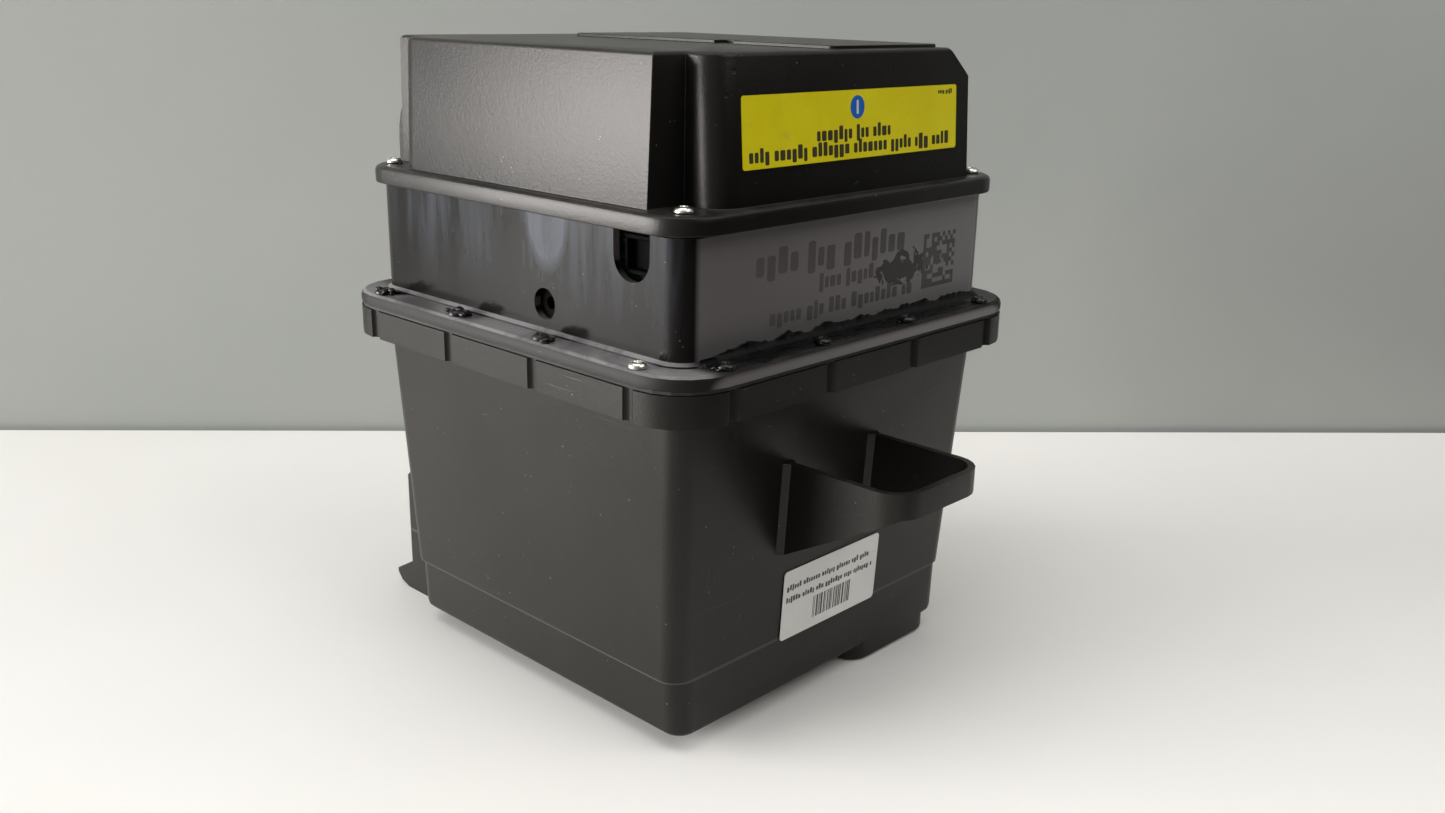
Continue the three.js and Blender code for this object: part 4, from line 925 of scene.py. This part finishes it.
def ink_pool():
    """Dried ink along the front flange: it climbs the wall and thins out over the flange."""
    wall = HOUSING_FRONT
    rings = []
    count = 220
    for i in range(count + 1):
        share = i / count
        x = (-84 + 172 * share) * MM
        fade = min(1.0, 9 * share, 14 * (1 - share))
        up = SHELF_Z + (2.3 + fade * (1.7 + 2.2 * noise.noise(Vector((x * 95, 3.1, 0)))
                                      + 0.8 * noise.noise(Vector((x * 380, 8.4, 0))))) * MM
        out = wall - (3.5 + fade * (5.6 + 3.0 * noise.noise(Vector((x * 70, 0.4, 2))))) * MM
        skin = (0.10 + 0.22 * fade) * MM
        profile = [(wall + 0.4 * MM, up), (wall - 0.05 * MM, up), (wall - skin, up - 0.4 * MM),
                   (wall - skin * 1.6, SHELF_Z + 2.2 * MM), (wall - 1.9 * MM, SHELF_Z + 1.0 * MM + skin),
                   (wall - 2.6 * MM, SHELF_Z + skin * 1.7), ((wall + out) / 2 - 1 * MM, SHELF_Z + skin * 1.2),
                   (out + 0.5 * MM, SHELF_Z + skin), (out, SHELF_Z - 0.02 * MM),
                   (out + 0.6 * MM, SHELF_Z - 0.4 * MM), (wall + 0.4 * MM, SHELF_Z - 0.4 * MM)]
        rings.append([Vector((x, y, z)) for y, z in profile])
    size = len(rings[0])
    points = [p for ring in rings for p in ring]
    faces = [tuple(range(size)), tuple(len(points) - 1 - i for i in range(size))]
    for i in range(count):
        for j in range(size):
            k = (j + 1) % size
            faces.append((i * size + j, (i + 1) * size + j, (i + 1) * size + k, i * size + k))
    mesh = bpy.data.meshes.new("front_ink_pool")
    mesh.from_pydata(points, [], faces)
    form = bmesh.new()
    form.from_mesh(mesh)
    bmesh.ops.recalc_face_normals(form, faces=form.faces)
    form.to_mesh(mesh)
    form.free()
    mesh.shade_smooth()
    settle(new_piece("front_ink_pool", mesh, DRY_INK), "core", "housing_plastic")


sealant_on_screws()
ink_pool()

# ---- stage, light and camera ---------------------------------------------------------------
FLOOR_EDGE = (Vector((-0.1258, 0.5177, 0)), Vector((0.6004, -0.1656, 0)))
TABLE_DEPTH = 0.80
ROOM_FLOOR_Z = -0.74
WALL_FOOT_Z = -0.75
WALL_TOP_Z = 2.5
WALL_GAP = 0.004  # table edge to wall
BRIGHT_WAY = (-0.80, 0.45, 0.40)  # toward the brightest part of the room
CAMERA_PLACE = (-0.4022, -0.3947, 0.2832)


def flat_quad(name, corners, material):
    mesh = bpy.data.meshes.new(name)
    mesh.from_pydata(corners, [], [tuple(range(len(corners)))])
    piece = new_piece(name, mesh, material)
    return piece


def stage_finish(name, colour, paler, rough):
    made = Finish(name)
    drift = made.noise(made.place, 2.5, 4.0, 0.6)
    fine = made.noise(made.place, 700.0, 2.0)
    made.set("Base Color", made.blend(made.steps(drift, 0.3, 0.7), colour, paler))
    made.set("Roughness", made.steps(fine, 0.3, 0.7, rough - 0.05, rough + 0.05))
    made.bump(fine, 0.00002)
    return made.material


def stage():
    left, right = FLOOR_EDGE
    run = (right - left).normalized()
    back = Vector((-run.y, run.x, 0))
    if back.dot(Vector((1, 1, 0))) < 0:
        back = -back
    a, b = left - run * 3, right + run * 3
    deep = back * TABLE_DEPTH
    flat_quad("table_top", [a - deep, right - run * 0.45 - deep, right + run * 0.16, a],
              stage_finish("table laminate", rgb(0.86, 0.845, 0.815), rgb(0.89, 0.875, 0.85), 0.5))
    low = Vector((0, 0, ROOM_FLOOR_Z))
    flat_quad("room_floor", [low + Vector((x, y, 0)) for x, y in ((-5, -5), (5, -5), (5, 5), (-5, 5))],
              stage_finish("room carpet", rgb(0.085, 0.088, 0.09), rgb(0.10, 0.103, 0.105), 0.85))
    a = left - run * 1.2
    rise = Vector((0, 0, WALL_TOP_Z))
    sink = Vector((0, 0, WALL_FOOT_Z))
    gap = back * WALL_GAP
    flat_quad("back_wall", [a + sink + gap, b + sink + gap, b + rise + gap, a + rise + gap],
              stage_finish("painted wall", rgb(0.345, 0.36, 0.34), rgb(0.375, 0.385, 0.365), 0.8))


def soft_light(name, place, target, size, power, colour=(1, 1, 1)):
    light = bpy.data.lights.new(name, "AREA")
    light.shape = "RECTANGLE"
    light.size, light.size_y = size
    light.energy = power
    light.color = colour
    lamp = bpy.data.objects.new(name, light)
    lamp.location = place
    lamp.rotation_euler = (Vector(target) - Vector(place)).to_track_quat("-Z", "Y").to_euler()
    bpy.context.scene.collection.objects.link(lamp)
    return lamp


def lights():
    world = bpy.data.worlds.new("room")
    bpy.context.scene.world = world
    world.use_nodes = True
    room = Tree(world.node_tree)
    way = room.nodes.new("ShaderNodeTexCoord").outputs["Generated"]
    toward = room.add("ShaderNodeVectorMath", {"operation": "DOT_PRODUCT"}, **{"0": way, "1": BRIGHT_WAY})
    glow = room.steps(toward.outputs["Value"], -0.2, 0.9, 0.02, 0.36)
    ground = room.nodes["Background"]
    ground.inputs[0].default_value = (0.92, 0.96, 1.0, 1)
    room.feed(ground, "Strength", glow)
    soft_light("window", (-5.6, 5.1, 1.3), (0, 0, 0.12), (8.5, 3.4), 1720, (1.0, 0.985, 0.97))
    soft_light("ceiling", (-0.3, 0.3, 2.4), (0, 0, 0), (2.6, 2.6), 48, (1.0, 0.98, 0.95))
    soft_light("ceiling front", (0.7, -1.9, 2.2), (0, 0, 0.1), (2.4, 1.6), 27, (1.0, 0.98, 0.95))


def camera():
    turn, dip, roll = math.radians(-46.74), math.radians(17.23), math.radians(1.21)
    right = Vector((math.cos(turn), math.sin(turn), 0))
    back = Vector((math.sin(turn) * math.cos(dip), -math.cos(turn) * math.cos(dip), math.sin(dip)))
    up = back.cross(right)
    side = math.cos(roll) * right + math.sin(roll) * up
    head = math.cos(roll) * up - math.sin(roll) * right
    lens = bpy.data.cameras.new("camera")
    lens.lens = 32.84
    lens.sensor_width = 36
    eye = bpy.data.objects.new("camera", lens)
    aim = Matrix((side, head, back)).transposed().to_4x4()
    eye.matrix_world = Matrix.Translation(CAMERA_PLACE) @ aim
    bpy.context.scene.collection.objects.link(eye)
    bpy.context.scene.camera = eye


stage()
lights()
camera()
bpy.context.scene.view_settings.view_transform = "Standard"
